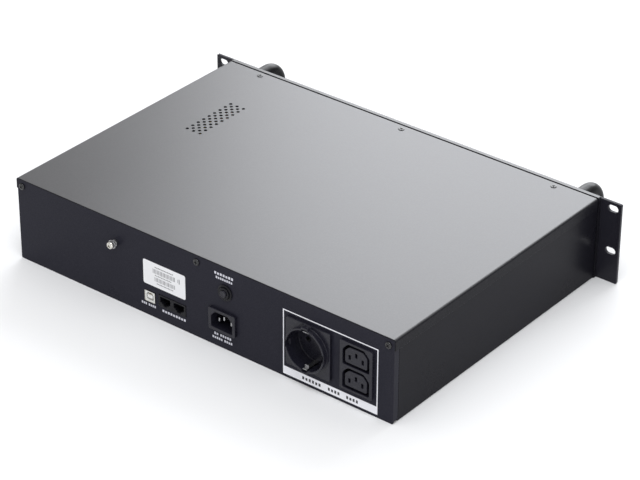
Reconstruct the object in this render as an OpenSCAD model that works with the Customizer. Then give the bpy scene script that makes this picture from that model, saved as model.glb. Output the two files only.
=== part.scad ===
/* [Chassis] */
// Width over the chassis side walls
body_w = 436.6; // [434:0.2:438]
// Depth from the back of the rack ears to the face of the rear panel
body_d = 310; // [306:1:340]
// Height over the top cover
body_h = 85.8; // [85.4:0.1:87]
// Thickness of the chassis and cover sheet
sheet_t = 1.2; // [1:0.1:1.3]
// Height of the side flanges of the cover
flange_h = 11; // [9:0.5:14]
// Outer radius of the side bends of the cover
bend_r = 2.4; // [1.6:0.1:3]
// Outer radius of the lower bends of the chassis
base_r = 1.5; // [1.4:0.1:2.4]
// Depth of the frame behind the front plate
frame_d = 3.8; // [3.2:0.1:4.5]
// Gap between the front frame and the cover
cover_gap = 1.9; // [0.6:0.1:2.4]
// Depth of the side returns of the rear panel
return_d = 7; // [5:0.5:10]

/* [Front plate] */
// Width over the two rack ears
rack_w = 482.6; // [482:0.1:483]
// Height of the front plate
plate_h = 84; // [83:0.5:85]
// Thickness of the front plate
plate_t = 3; // [2.5:0.1:4]
// Corner radius of the rack ears
ear_r = 1.5; // [1:0.5:4]
// Distance between the left and right slots
slot_pitch_x = 465.1; // [465:0.1:465.2]
// Distance between the lower and upper slots
slot_pitch_z = 44.45; // [44.4:0.01:44.5]
// Height of the lower slots
slot_z = 33; // [30:0.5:35]
// Length of a slot
slot_l = 11; // [10:0.5:12]
// Width of a slot
slot_w = 7; // [6.4:0.1:7.2]

/* [Handles] */
// Distance of each handle from the middle
handle_x = 191.6; // [188:0.2:195]
// Height of the middle of the handles
handle_z = 42; // [40:1:44]
// Distance between the two ends of a handle
handle_pitch = 61; // [58:1:64]
// Diameter of the handle bar
handle_bar = 15; // [12:0.5:16]
// Distance from the back of the ears to the axis of the grip
handle_reach = 36; // [34:1:40]
// Radius of the bends on the axis of the bar
handle_bend = 17; // [14:0.5:18]

/* [Front controls] */
// Middle of the display, along the width
window_x = -14; // [-16:1:-12]
// Middle of the display, up from the bottom
window_z = 42; // [41:1:43]
// Width of the display window
window_w = 72; // [68:1:74]
// Height of the display window
window_h = 38; // [34:1:40]
// Place of the two buttons along the width
button_x = 48; // [47:1:50]
// Height of the power button
power_z = 51; // [50:1:52]
// Diameter of the power button
power_d = 14; // [12:0.5:15]
// Height of the selector button
select_z = 30; // [29:1:31]
// Diameter of the selector button
select_d = 10; // [8:0.5:11]
// How far a front button stands out of the plate
button_out = 1.6; // [1:0.1:2]
// Travel of the front buttons
button_travel = 1.5; // [1:0.1:1.8]
// Place of the status lights along the width
light_x = -64; // [-66:1:-62]
// Diameter of a status light
light_d = 3.4; // [3:0.1:4]

/* [Front vents] */
// Distance of each block of front slots from the middle
grille_x = 126; // [120:1:130]
// Number of slots in a row
grille_n = 12; // [8:1:12]
// Distance between neighbouring slots
grille_pitch = 6; // [5:0.5:6]
// Width of a vent slot
grille_w = 3; // [2:0.1:3.2]
// Length of a vent slot
grille_l = 23; // [18:1:24]

/* [Cover vents] */
// Middle of the vent block along the width
vent_x = 151.2; // [140:0.2:160]
// Middle of the vent block from the back of the ears
vent_y = 107.6; // [100:0.2:115]
// Number of vent columns
vent_cols = 5; // [3:2:5]
// Number of holes in the longer columns
vent_rows = 9; // [5:1:9]
// Distance between holes in a column
vent_pitch = 8; // [7:0.1:8]
// Diameter of a vent hole
vent_d = 3.2; // [2.5:0.1:3.4]

/* [Cover screws] */
// Distance of the outer top screws from the middle
top_screw_x = 175; // [165:1:185]
// Distance of the top screws from the back of the ears
top_screw_y = 12; // [11:0.5:13]
// Distance of the outer rear screws from the middle
rear_screw_x = 212.3; // [205:0.1:212.5]
// Height of the rear screws
rear_screw_z = 78.4; // [77:0.1:79]

/* [Outlets and inlet] */
// Middle of the round outlet along the width
round_x = -127.6; // [-130:0.2:-126]
// Height of the middle of both outlets
outlet_z = 41.2; // [40:0.1:43]
// Middle of the double outlet block along the width
iec_x = -180; // [-182:0.2:-179]
// Distance between the two outlets of the block
iec_pitch = 23.7; // [23.4:0.1:24]
// How far the outlet and inlet plates stand out
plate_out = 3; // [2:0.1:3.5]
// How far the collar of the round outlet stands out of its plate
collar_out = 5; // [3:0.5:6]
// Inner diameter of the round outlet
round_d = 39.6; // [39:0.1:40]
// Depth of the round outlet
round_depth = 17.5; // [17:0.5:18]
// Middle of the inlet along the width
inlet_x = -30.2; // [-32:0.1:-28]
// Height of the middle of the inlet
inlet_z = 28.7; // [27:0.1:30]

/* [Other rear parts] */
// Middle of the breaker along the width
breaker_x = -32.9; // [-34:0.1:-31]
// Height of the breaker
breaker_z = 59.5; // [59:0.1:60]
// Distance that the breaker button comes out when it trips
breaker_travel = 4; // [2:0.5:5]
// Middle of the data port along the width
usb_x = 56.5; // [55:0.5:58]
// Middle of the two phone jacks along the width
jack_x = 30.1; // [28:0.1:32]
// Height of the board that carries the port and the jacks
port_z = 15; // [14:0.5:15]
// Place of the earth screw along the width
ground_x = 96.9; // [95:0.1:100]
// Height of the earth screw
ground_z = 62; // [60:0.5:64]

/* [Inside] */
// Length of a battery block
battery_l = 151; // [148:1:151]
// Width of a battery block, from back to front as it lies
battery_w = 94; // [90:1:94]
// Thickness of a battery block
battery_t = 65; // [60:1:66]
// Middle of the transformer along the width
transformer_x = 148; // [146:1:149]
// Middle of the transformer from the middle of the chassis
transformer_y = -88; // [-90:1:-84]
// Width of the transformer core
core_w = 108; // [106:2:108]
// Thickness of the stack of core plates
core_stack = 54; // [50:1:54]

/* [Hidden] */
$fn = 48;

// Planes across the depth: the front faces -Y and the rear +Y
ear_y = -body_d / 2;
plate_y = ear_y - plate_t;
frame_y = ear_y + frame_d;
front_in = ear_y + sheet_t;
rear_y = body_d / 2;
rear_in = rear_y - sheet_t;
seam_y = rear_y - return_d;
cover_y = frame_y + cover_gap;
lip_y = ear_y + top_screw_y + 7;
face_y = rear_y + plate_out;

// Widths and heights of the shell
wall_x = body_w / 2;
wall_in = wall_x - sheet_t;
outer_w = body_w + 2 * sheet_t;
wall_h = body_h - sheet_t;
skin_r = bend_r - sheet_t;
floor_z = sheet_t;
screw_y = ear_y + top_screw_y;
sides = [-1, 1];

// Screws
m3_r = 1.5;
m4_r = 2;
m5_r = 2.5;
play = 0.1;
edge_gap = 0.2;

// Handles
bar_r = handle_bar / 2;
grip_y = ear_y - handle_reach;
elbow_y = grip_y + handle_bend;
half_pitch = handle_pitch / 2;
handle_bore = 12;

// Front controls, from the window back to the display board
lens_t = 1.5;
lens_rim = 4;
lens_y = front_in + lens_t;
board_t = 1.6;
board_y = front_in + 12.2;
lcd_w = window_w + 4;
lcd_h = window_h + 4;
button_gap = 0.15;
cap_y = plate_y - button_out;
collar_y = front_in + 0.1;
collar_t = 1.2;
collar_w = 1.2;
switch_w = 12;
switch_y = board_y - 4.4;
stem_r = 2;
stem_end = board_y - 2.1 - button_travel;
guide_y = front_in + 4.3;
guide_t = 2;
guide_w = 24;
guide_h = 40;
guide_post = 9.5;
guide_z = (power_z + select_z) / 2;
light_z = [32, 42, 52];
light_out = 0.4;
led_h = 2;
display_x = [-70, 60];
display_z = [14, 70];
display_edge = 5;
grille_z = [28, 56];

// Outlets and inlet
iec_w = 24.4;
iec_h = 16.6;
iec_chamfer = 5;
inlet_w = 27;
inlet_h = 19.6;
back_in = 3.8;
pin_x = 7;
pin_z = 2;
pin_w = 2;
pin_h = 4;
inlet_back = rear_y - 18;
inlet_floor = rear_y - 14;
pin_tip = face_y - 5;
earth_tip = pin_tip + 1.5;
pin_back = inlet_back - 9;
outlet_back = rear_y - 28;
round_plate = 48.6;
round_wall = 1.9;
round_back_r = 21;
round_face = face_y + collar_out;
round_floor = round_face - round_depth;
round_pin_x = 9.5;
sleeve_r = 3.4;
clip_w = 4.4;
clip_cover_w = 7;
clip_cover_t = 3;
clip_cover_z = 22;
clip_t = 0.8;
block_w = 35;
block_h = 49;
channel_w = 28.8;
channel_h = 21.2;
island_w = 23.6;
island_h = 16;
channel_y = rear_y - 14;
island_y = face_y - 0.4;
leaf_t = 0.5;
hole_w = 2.4;
hole_h = 4.6;
iec_z = [outlet_z - iec_pitch / 2, outlet_z + iec_pitch / 2];

// Breaker, data port, phone jacks and earth screw
breaker_w = 14;
breaker_h = 30;
breaker_d = 32;
bushing_r = 5.6;
bushing_y = rear_y + 2.8;
button_r = 3.4;
breaker_out = 1.4;
nut_r = 8;
nut_h = 1.6;
usb_w = 12.2;
usb_h = 11;
usb_t = 0.5;
usb_y = rear_y + 0.9;
usb_back = rear_y - 15;
usb_z = port_z + usb_h / 2;
jack_w = 32.4;
jack_h = 12;
jack_pitch = 16.2;
jack_open = 12;
jack_y = rear_y + 0.6;
jack_back = rear_y - 17;
jack_floor = rear_y - 13;
ground_out = 9;
ground_in = 6;

// Printed frame round the outlets
mark_x0 = -201.6;
mark_x1 = -98;
mark_z0 = 3;
mark_z1 = 69.3;
mark_line = 1;
mark_band = 8;
ink_t = 0.12;
label_w = 50;
label_h = 25;
label_x = 39;
label_z = 45.5;

// Batteries, lying on their broad sides behind one another
battery_x = -124.5;
battery_y = [-89, 22];
battery_wall = 2.5;
battery_top = floor_z + battery_t;
lid_h = 15;
cells = 6;
cell_pitch = (battery_l - battery_wall) / cells;
plate_gap = 1.8;
tab_w = 4.8;
tab_t = 0.8;
tab_l = 6.3;
tab_in = 12;
strap_w = 20;
strap_t = 1.5;
strap_foot = 12;
strap_x = [for (s = sides) battery_x + s * (battery_l / 2 + strap_t + strap_foot / 2)];

// Transformer
core_z = 15;
core_top = core_z + core_stack;
core_l = core_w * 5 / 6;
core_leg = core_w / 3;
core_gap = core_w / 6;
coil_build = 11.5;
coil_w = core_leg + 2 * core_gap - 2;
coil_l = core_w / 2 - 1;
bolt_x = core_w / 2 - 6;
bolt_y = core_l / 2 - 6;
rail_t = 1.5;
rail_w = 12;
foot_w = 11.5;
foot_y = core_l / 2 - 10;

// Boards
main_x = [45, 205];
main_y = [-18, 100];
main_z = 12;
main_top = main_z + board_t;
comms_x = [8, 70];
comms_y = [112, 152];
comms_z = port_z - board_t;
board_in = 7;
post_r = 3;
sink_l = 90;
sink_h = 34;
sink_y = [14, 58];
sink_fins = 7;
sink_back = 3;
fin_pitch = 5;
fin_t = 1.2;
fin_out = 12;
transistor_w = 15;
transistor_t = 4.8;
capacitor_places = [[190, 8], [190, 27], [190, 46], [190, 65], [98, -6], [117, -6]];
board_posts = concat(
    [for (x = [main_x[0] + board_in, main_x[1] - board_in], y = [main_y[0] + board_in,
        main_y[1] - board_in])
        [x, y, main_z]],
    [for (x = [comms_x[0] + 4, comms_x[1] - 4], y = [comms_y[0] + 4]) [x, y, comms_z]]
);

// Routes of the cables
wire_r = 1.2;
lead_r = 1.8;
earth_route = [[-30.2, 127.7, 30.7], [-30, 116, 33], [-10, 106, 44], [40, 104, 56], [84, 112, 62],
    [96.5, 136, 62], [96.9, 148.7, 62]];
line_route = [[-23.2, 127.7, 26.7], [-23, 116, 27.5], [-23, 104, 34], [-29, 100, 44], [-32.9, 106, 51],
    [-32.9, 115.2, 51]];
neutral_route = [[-37.2, 127.7, 26.7], [-37, 114, 23], [-24, 102, 14], [10, 98, 10], [38, 94, 14],
    [44, 90, 22], [52, 87, 21], [52, 87, 13.9]];
breaker_route = [[-32.9, 115.2, 68], [-32.9, 106, 68], [-20, 96, 64], [20, 88, 46], [44, 80, 30],
    [56, 78, 22], [56, 78, 13.9]];
round_line_route = [[-118, 126.7, 41], [-118, 112, 41], [-100, 98, 34], [-60, 94, 20], [-30, 92, 16],
    [20, 88, 14], [38, 76, 16], [46, 71, 24], [54, 71, 20], [54, 71, 13.9]];
round_neutral_route = [[-137, 126.7, 41], [-137, 108, 46], [-110, 96, 44], [-60, 86, 30], [-30, 84, 22],
    [20, 76, 18], [38, 66, 20], [46, 63, 26], [54, 63, 20], [54, 63, 13.9]];
block_line_route = [[-173, 126.7, 27], [-173, 112, 24], [-160, 102, 12], [-120, 100, 8], [-70, 100, 6],
    [-20, 94, 5], [30, 82, 5], [38, 60, 10], [44, 54, 22], [54, 54, 20], [54, 54, 13.9]];
link_route = [[-61, -35.4, 54], [-61, -31, 57], [-61, -29, 67], [-64, -24, 73], [-80, 10, 73],
    [-90, 50, 73], [-110, 76, 70], [-160, 86, 58], [-184, 87, 54], [-188, 82, 54], [-188, 75.6, 54]];
minus_route = [[-188, -35.4, 54], [-188, -31, 57], [-187, -29, 67], [-176, -27, 79], [-110, -28, 80],
    [-50, -30, 79], [-36, -24, 64], [-20, -18, 44], [20, -8, 34], [44, -4, 30], [54, -2, 23], [54, -2,
    14]];
plus_route = [[-61, 75.6, 54], [-61, 82, 54], [-52, 84, 52], [-40, 70, 46], [-10, 30, 38], [30, 10, 34],
    [46, 10, 29], [54, 10, 22], [54, 10, 14]];
display_route = [[-40, -139.7, 24], [-40, -130, 24], [-30, -115, 10], [0, -80, 6], [30, -40, 8],
    [37, -18, 15], [39, 12, 20], [47, 22, 24], [54, 23, 20], [54, 23, 13.9]];
coil_routes = [for (i = [0:2]) let (x = transformer_x - 12 + 12 * i)
    [[x, -61, 75], [x, -50, 77], [x, -38, 74], [x, -30, 58], [x, -20, 32], [x, -12, 21], [x, -12, 13.9]]];

// ---------- shapes that repeat ----------

// A flat outline in X and Z, made solid from y0 back to y1
module prism(y0, y1)
    translate([0, y1, 0]) rotate([90, 0, 0]) linear_extrude(y1 - y0) children();

// A round bar along Y
module rod(r, y0, y1)
    translate([0, y0, 0]) rotate([-90, 0, 0]) cylinder(r = r, h = y1 - y0);

// A block between two corners
module block(a, b)
    translate(a) cube(b - a);

module at(x, z)
    translate([x, 0, z]) children();

module round_rect(w, h, r) {
    square([w - 2 * r, h], center = true);
    square([w, h - 2 * r], center = true);
    for (x = sides, z = sides)
        translate([x * (w / 2 - r), z * (h / 2 - r)]) circle(r);
}

// A slot with round ends, lying along the first axis
module slot(l, w) {
    square([l - w, w], center = true);
    for (s = sides)
        translate([s * (l - w) / 2, 0]) circle(w / 2);
}

// The six-sided outline of a mains connector, cut at its two upper corners
module connector(w, h, c)
    polygon([[-w / 2, -h / 2], [w / 2, -h / 2], [w / 2, h / 2 - c], [w / 2 - c, h / 2], [c - w / 2,
        h / 2],
        [-w / 2, h / 2 - c]]);

// The places of the three contacts of a mains connector
module contact_places()
    for (p = [[-pin_x, -pin_z], [pin_x, -pin_z], [0, pin_z]])
        at(p[0], p[1]) children();

module slot_places()
    for (x = sides, k = [0, 1])
        at(x * slot_pitch_x / 2, slot_z + k * slot_pitch_z) children();

module handle_bolt_places()
    for (x = sides, z = sides)
        at(x * handle_x, handle_z + z * half_pitch) children();

module top_screw_places()
    for (x = [-top_screw_x, 0, top_screw_x])
        translate([x, screw_y, 0]) children();

module rear_screw_places()
    for (x = [-rear_screw_x, 0, rear_screw_x])
        at(x, rear_screw_z) children();

module display_post_places()
    for (x = display_x, z = display_z)
        at(x, z) children();

module base_screw_places() {
    for (x = strap_x, y = battery_y)
        translate([x, y, 0]) children();
    for (x = sides, y = sides)
        translate([transformer_x + x * (core_w / 2 + rail_t + foot_w / 2), transformer_y + y * foot_y,
            0]) children();
}

// The slots of the two blocks of front vents
module grille_slots(fit)
    for (s = sides, z = grille_z, i = [0:grille_n - 1])
        translate([s * grille_x + (i - (grille_n - 1) / 2) * grille_pitch, z])
            rotate(90) slot(grille_l + fit, grille_w + fit);

// The opening for the display, the buttons and the lights
module control_openings() {
    translate([window_x, window_z]) round_rect(window_w + 2 * play, window_h + 2 * play, 2.5);
    translate([button_x, power_z]) circle(power_d / 2 + button_gap);
    translate([button_x, select_z]) circle(select_d / 2 + button_gap);
    for (z = light_z)
        translate([light_x, z]) circle(light_d / 2 + play / 2);
}

function unit(v) = v / norm(v);

// One point between b and c on a smooth curve through a, b, c and d
function blend(a, b, c, d, t) =
    0.5 * (2 * b + (c - a) * t + (2 * a - 5 * b + 4 * c - d) * t * t + (3 * b - a - 3 * c + d)
        * t * t * t);

function smooth(p, n) =
    let (e = len(p) - 1)
    concat([for (i = [0:e - 1], k = [0:n - 1]) blend(p[max(i - 1, 0)], p[i], p[i + 1], p[min(i + 2, e)],
        k / n)],
        [p[e]]);

function ring(q, i, r, n) =
    let (
        e = len(q) - 1,
        t = unit(q[min(i + 1, e)] - q[max(i - 1, 0)]),
        a = unit(cross(t, [0.31, 0.17, 0.93])),
        b = cross(t, a)
    )
    [for (k = [0:n - 1]) q[i] + r * (cos(360 * k / n) * a + sin(360 * k / n) * b)];

// A cable of n sides along a smooth route
module cable(route, r, n = 8) {
    q = smooth(route, 4);
    e = len(q) - 1;
    points = [for (i = [0:e]) each ring(q, i, r, n)];
    skin = [for (i = [0:e - 1], k = [0:n - 1])
        let (a = i * n + k, b = i * n + (k + 1) % n)
        each [[a, b, a + n], [b, b + n, a + n]]];
    start = [for (k = [n - 1:-1:0]) k];
    end = [for (k = [0:n - 1]) e * n + k];
    polyhedron(points, concat([start], skin, [end]));
}

// ---------- shell ----------

module chassis_base()
    color("#232228")
    difference() {
        union() {
            prism(frame_y, seam_y)
                difference() {
                    translate([0, body_h / 2]) round_rect(body_w, body_h, base_r);
                    translate([0, body_h / 2 + sheet_t]) round_rect(body_w - 2 * sheet_t, body_h,
                        base_r - sheet_t);
                    translate([-body_w, wall_h - skin_r]) square([2 * body_w, body_h]);
                }
            block([-wall_in + skin_r, seam_y, 0], [wall_in - skin_r, rear_in, sheet_t]);
        }
        base_screw_places() translate([0, 0, -1]) cylinder(r = m4_r, h = sheet_t + 2);
    }

module rear_openings() {
    translate([inlet_x, inlet_z]) square([inlet_w + 2 * edge_gap, inlet_h + 2 * edge_gap], center = true);
    translate([iec_x, outlet_z]) square([block_w - back_in + 2 * edge_gap,
        block_h - back_in + 2 * edge_gap], center = true);
    translate([usb_x, usb_z]) square([usb_w + 2 * edge_gap, usb_h + 2 * edge_gap], center = true);
    translate([jack_x, port_z + jack_h / 2]) square([jack_w + 2 * edge_gap, jack_h + 2 * edge_gap],
        center = true);
}

module rear_panel()
    color("#2e2d35")
    difference() {
        union() {
            prism(rear_in, rear_y)
                intersection() {
                    translate([0, body_h / 2]) round_rect(body_w, body_h, base_r);
                    translate([0, wall_h / 2]) round_rect(body_w, wall_h, skin_r);
                }
            for (s = sides)
                block([s * (wall_x - sheet_t / 2) - sheet_t / 2, seam_y + 0.3, bend_r],
                    [s * (wall_x - sheet_t / 2) + sheet_t / 2, rear_in, wall_h - bend_r]);
        }
        prism(rear_in - 1, rear_y + 1) rear_openings();
        rear_screw_places() rod(m4_r + play, rear_in - 1, rear_y + 1);
        at(breaker_x, breaker_z) rod(bushing_r + play, rear_in - 1, rear_y + 1);
        at(round_x, outlet_z) rod(round_back_r + edge_gap, rear_in - 1, rear_y + 1);
        at(ground_x, ground_z) rod(m4_r + play, rear_in - 1, rear_y + 1);
    }

module front_frame()
    color("#232228")
    difference() {
        union() {
            prism(ear_y, frame_y)
                difference() {
                    translate([0, body_h / 2]) round_rect(outer_w, body_h, 1.5);
                    translate([0, body_h / 2]) square([outer_w - 2 * sheet_t, body_h - 2 * sheet_t],
                        center = true);
                }
            prism(ear_y, front_in)
                translate([0, body_h / 2]) square([outer_w - 2, body_h - 2], center = true);
            block([-wall_in + 1, front_in, wall_h - sheet_t], [wall_in - 1, lip_y, wall_h]);
            for (s = sides)
                block([s * (wall_in - sheet_t / 2) - sheet_t / 2, front_in, 8],
                    [s * (wall_in - sheet_t / 2) + sheet_t / 2, lip_y, 78]);
        }
        prism(ear_y - 1, front_in + 1) {
            control_openings();
            grille_slots(0.6);
        }
        handle_bolt_places() rod(m5_r + play, ear_y - 1, front_in + 1);
        top_screw_places() translate([0, 0, wall_h - 2 * sheet_t]) cylinder(r = m3_r, h = 3 * sheet_t);
    }

module cover_vents()
    for (i = [0:vent_cols - 1])
        let (odd = i % 2, rows = vent_rows - odd)
        for (j = [0:rows - 1])
            translate([vent_x + (i - (vent_cols - 1) / 2) * vent_pitch / 2,
                ear_y + vent_y + (j - (rows - 1) / 2) * vent_pitch]) circle(vent_d / 2);

module top_cover()
    color("#29282d")
    difference() {
        union() {
            prism(cover_y, rear_y)
                difference() {
                    translate([0, body_h / 2]) round_rect(outer_w, body_h, bend_r);
                    translate([0, body_h / 2 - sheet_t]) round_rect(body_w, body_h, skin_r);
                    translate([-body_w, -flange_h]) square([2 * body_w, body_h]);
                }
            block([-wall_in + 1, rear_in - sheet_t, body_h - flange_h], [wall_in - 1, rear_in, wall_h]);
        }
        translate([0, 0, wall_h - 1]) linear_extrude(sheet_t + 2) cover_vents();
        top_screw_places() translate([0, 0, wall_h - 1]) cylinder(r = m3_r + play, h = sheet_t + 2);
        rear_screw_places() rod(m4_r, rear_in - 3, rear_in + 1);
    }

module front_plate()
    color("#1f1e23")
    difference() {
        prism(plate_y, ear_y)
            difference() {
                translate([0, plate_h / 2]) round_rect(rack_w, plate_h, ear_r);
                control_openings();
                grille_slots(0);
            }
        slot_places() {
            for (s = sides)
                translate([s * (slot_l - slot_w) / 2, 0, 0]) rod(slot_w / 2, plate_y - 1, ear_y + 1);
            block([-(slot_l - slot_w) / 2, plate_y - 1, -slot_w / 2], [(slot_l - slot_w) / 2, ear_y + 1,
                slot_w / 2]);
        }
        handle_bolt_places() rod(m5_r + play, plate_y - 1, ear_y + 1);
    }

// ---------- handles and screws ----------

module elbow()
    rotate([90, 0, -90]) rotate_extrude(angle = 90) translate([handle_bend, 0]) circle(bar_r);

module handle()
    color("#1b1b1e")
    translate([0, 0, handle_z])
    difference() {
        union() {
            translate([0, grip_y, handle_bend - half_pitch]) cylinder(r = bar_r,
                h = handle_pitch - 2 * handle_bend);
            for (s = [0, 1])
                mirror([0, 0, s]) {
                    translate([0, elbow_y, half_pitch - handle_bend]) elbow();
                    at(0, half_pitch) rod(bar_r, elbow_y, plate_y);
                }
        }
        for (s = sides)
            at(0, s * half_pitch) rod(m5_r, plate_y - handle_bore, plate_y + 1);
    }

module handle_left()
    translate([-handle_x, 0, 0]) handle();

module handle_right()
    translate([handle_x, 0, 0]) handle();

module handle_screws()
    color("#8f9094")
    handle_bolt_places() {
        rod(4.5, front_in, front_in + 3);
        rod(m5_r, plate_y - handle_bore + 2, front_in);
    }

module cover_screws_top()
    color("#17171a")
    top_screw_places() translate([0, 0, body_h]) {
        cylinder(r = 3, h = 0.5);
        translate([0, 0, -sheet_t * 2]) cylinder(r = m3_r, h = sheet_t * 2);
    }

module cover_screws_rear()
    color("#17171a")
    rear_screw_places() {
        rod(3.4, rear_y, rear_y + 1.8);
        rod(m4_r, rear_y - 6, rear_y);
    }

// ---------- mains inlet and breaker ----------

module inlet_body()
    color("#1c1c21")
    at(inlet_x, inlet_z)
    difference() {
        union() {
            prism(rear_y, face_y) round_rect(30.6, 22.2, 1.6);
            prism(inlet_back, rear_y) square([inlet_w, inlet_h], center = true);
        }
        prism(inlet_floor, face_y + 1) connector(iec_w, iec_h, iec_chamfer);
        contact_places() prism(inlet_back - 1, inlet_floor + 1) square([pin_w, pin_h], center = true);
    }

module inlet_pins()
    color("#c9c7c0")
    at(inlet_x, inlet_z) {
        contact_places() prism(pin_back, pin_tip) square([pin_w, pin_h], center = true);
        at(0, pin_z) prism(pin_back, earth_tip) square([pin_w, pin_h], center = true);
    }

module breaker_body()
    color("#17171a")
    at(breaker_x, breaker_z) {
        difference() {
            union() {
                rod(bushing_r, rear_in, bushing_y);
                prism(rear_in - breaker_d, rear_in) square([breaker_w, breaker_h], center = true);
            }
            rod(button_r + play, rear_y - 6 - breaker_travel, bushing_y + 1);
        }
        for (s = sides)
            block([-tab_w / 2, rear_in - breaker_d - tab_l, s * 8.5 - tab_t / 2],
                [tab_w / 2, rear_in - breaker_d, s * 8.5 + tab_t / 2]);
    }

module breaker_nut()
    color("#24242a")
    at(breaker_x, breaker_z)
    difference() {
        rod(nut_r, rear_y, rear_y + nut_h);
        rod(bushing_r, rear_y - 1, rear_y + nut_h + 1);
    }

module breaker_button()
    color("#2b2b30")
    at(breaker_x, breaker_z) rod(button_r, rear_y - 5 - breaker_travel, bushing_y + breaker_out);

// ---------- outlets ----------

module round_outlet_body()
    color("#26252c")
    at(round_x, outlet_z)
    difference() {
        union() {
            prism(rear_y, face_y) round_rect(round_plate, round_plate, 2);
            rod(round_d / 2 + round_wall, face_y, round_face);
            rod(round_back_r, outlet_back, rear_y);
            for (s = sides)
                at(0, s * clip_cover_z) block([-clip_cover_w / 2, face_y, -clip_cover_t / 2],
                    [clip_cover_w / 2, round_face, clip_cover_t / 2]);
        }
        rod(round_d / 2, round_floor, round_face + 1);
        for (s = sides) {
            at(s * round_pin_x, 0) rod(2.6, round_floor - 2, round_floor + 1);
            at(s * round_pin_x, 0) rod(sleeve_r, outlet_back - 1, round_floor - 1.5);
            at(s * (round_d / 2), 0) block([-1.4, rear_y + 2.4, -3], [1.4, round_face + 1, 3]);
            at(0, s * round_d / 2) {
                block([-clip_w / 2 - 0.5, round_floor, -2], [clip_w / 2 + 0.5, round_face,
                    0.8 * s + (s < 0 ? 3 : 0)]);
                block([-clip_w / 2 - 0.5, face_y, -1.6], [clip_w / 2 + 0.5, round_face + 1, 1.6]);
            }
        }
    }

// Sprung earth strips at the top and the bottom of the round outlet
module outlet_earth_clips()
    color("#d2d0c8")
    for (k = [0, 1])
        at(round_x, outlet_z) mirror([0, 0, k]) {
            block([-clip_w / 2, round_floor, 18.6], [clip_w / 2, round_face - 1, 18.6 + clip_t]);
            block([-clip_w / 2, round_face - 6, 16], [clip_w / 2, round_face - 4, 18.6]);
        }

module outlet_contacts()
    color("#c8a24a")
    for (s = sides)
        at(round_x + s * round_pin_x, outlet_z)
        difference() {
            rod(sleeve_r, outlet_back + 1, round_floor - 1.5);
            rod(2.5, outlet_back + 4, round_floor);
        }

module iec_outlet_body()
    color("#1d1d22")
    difference() {
        union() {
            at(iec_x, outlet_z) prism(rear_y, face_y) round_rect(block_w, block_h, 1.5);
            at(iec_x, outlet_z) prism(outlet_back, rear_y) square([block_w - back_in, block_h - back_in],
                center = true);
        }
        for (z = iec_z)
            at(iec_x, z) {
                prism(channel_y, face_y + 1)
                    difference() {
                        connector(channel_w, channel_h, iec_chamfer + 1);
                        connector(island_w, island_h, iec_chamfer - 0.6);
                    }
                block([-island_w / 2 - 0.1, island_y, -island_h / 2 - 0.1],
                    [island_w / 2 + 0.1, face_y + 1, island_h / 2 + 0.1]);
                contact_places() {
                    prism(island_y - 8, face_y + 1) square([hole_w, hole_h], center = true);
                    prism(outlet_back - 1, island_y - 7) square([hole_w + 2 * leaf_t,
                        hole_h + 2 * leaf_t], center = true);
                }
            }
    }

module iec_contacts()
    color("#c8a24a")
    for (z = iec_z)
        at(iec_x, z) contact_places()
            prism(outlet_back + 1, island_y - 7)
                difference() {
                    square([hole_w + 2 * leaf_t, hole_h + 2 * leaf_t], center = true);
                    square([hole_w, hole_h], center = true);
                }

// ---------- data port, phone jacks and earth screw ----------

module usb_shell()
    color("#c4c5c8")
    at(usb_x, usb_z)
    prism(usb_back, usb_y)
        difference() {
            round_rect(usb_w, usb_h, 0.8);
            square([usb_w - 2 * usb_t, usb_h - 2 * usb_t], center = true);
        }

module usb_insert()
    color("#e2e2e0")
    at(usb_x, usb_z)
    difference() {
        block([usb_t - usb_w / 2, usb_back, usb_t - usb_h / 2], [usb_w / 2 - usb_t, usb_y - 0.4,
            usb_h / 2 - usb_t]);
        prism(usb_back + 5, usb_y + 1)
            difference() {
                connector(8.6, 7.9, 1.9);
                square([5.7, 3.2], center = true);
            }
    }

module jack_places()
    for (s = sides)
        at(jack_x + s * jack_pitch / 2, port_z) children();

module phone_jacks()
    color("#141417")
    difference() {
        at(jack_x, port_z + jack_h / 2) prism(jack_back, jack_y) round_rect(jack_w, jack_h, 0.6);
        jack_places() {
            block([-jack_open / 2, jack_floor, 4.5], [jack_open / 2, jack_y + 1, 10.3]);
            block([-4, jack_floor, 3.2], [4, jack_y + 1, 5]);
            block([-2.2, jack_floor, 1.6], [2.2, jack_y + 1, 4]);
        }
    }

module jack_contacts()
    color("#c8a24a")
    jack_places()
        for (i = [0:3])
            at((i - 1.5) * 1.3, 9.9) rod(0.25, jack_floor, jack_y - 3);

module ground_screw()
    color("#c9c9cc")
    at(ground_x, ground_z) {
        rod(m4_r, rear_y - ground_in, rear_y + ground_out - 2.8);
        rod(3.7, rear_y + ground_out - 2.8, rear_y + ground_out);
    }

module hex_nut(r, y0, y1)
    translate([0, y0, 0]) rotate([-90, 0, 0])
    difference() {
        cylinder(r = r, h = y1 - y0, $fn = 6);
        translate([0, 0, -1]) cylinder(r = m4_r, h = y1 - y0 + 2);
    }

module washer(r, y0, y1)
    difference() {
        rod(r, y0, y1);
        rod(m4_r, y0 - 1, y1 + 1);
    }

// Nuts and washers on the earth screw, on both sides of the panel
module ground_hardware()
    color("#c9c9cc")
    at(ground_x, ground_z) {
        hex_nut(4, rear_in - 3.2, rear_in);
        hex_nut(3.6, rear_y, rear_y + 2.6);
        washer(4.3, rear_y + ground_out - 4.8, rear_y + ground_out - 3.9);
        washer(3.4, rear_y + ground_out - 3.9, rear_y + ground_out - 2.8);
    }

// ---------- printed and stuck on ----------

module rear_label()
    color("#f4f4f4")
    at(label_x, label_z) prism(rear_y, rear_y + 0.2) round_rect(label_w, label_h, 1.8);

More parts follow.
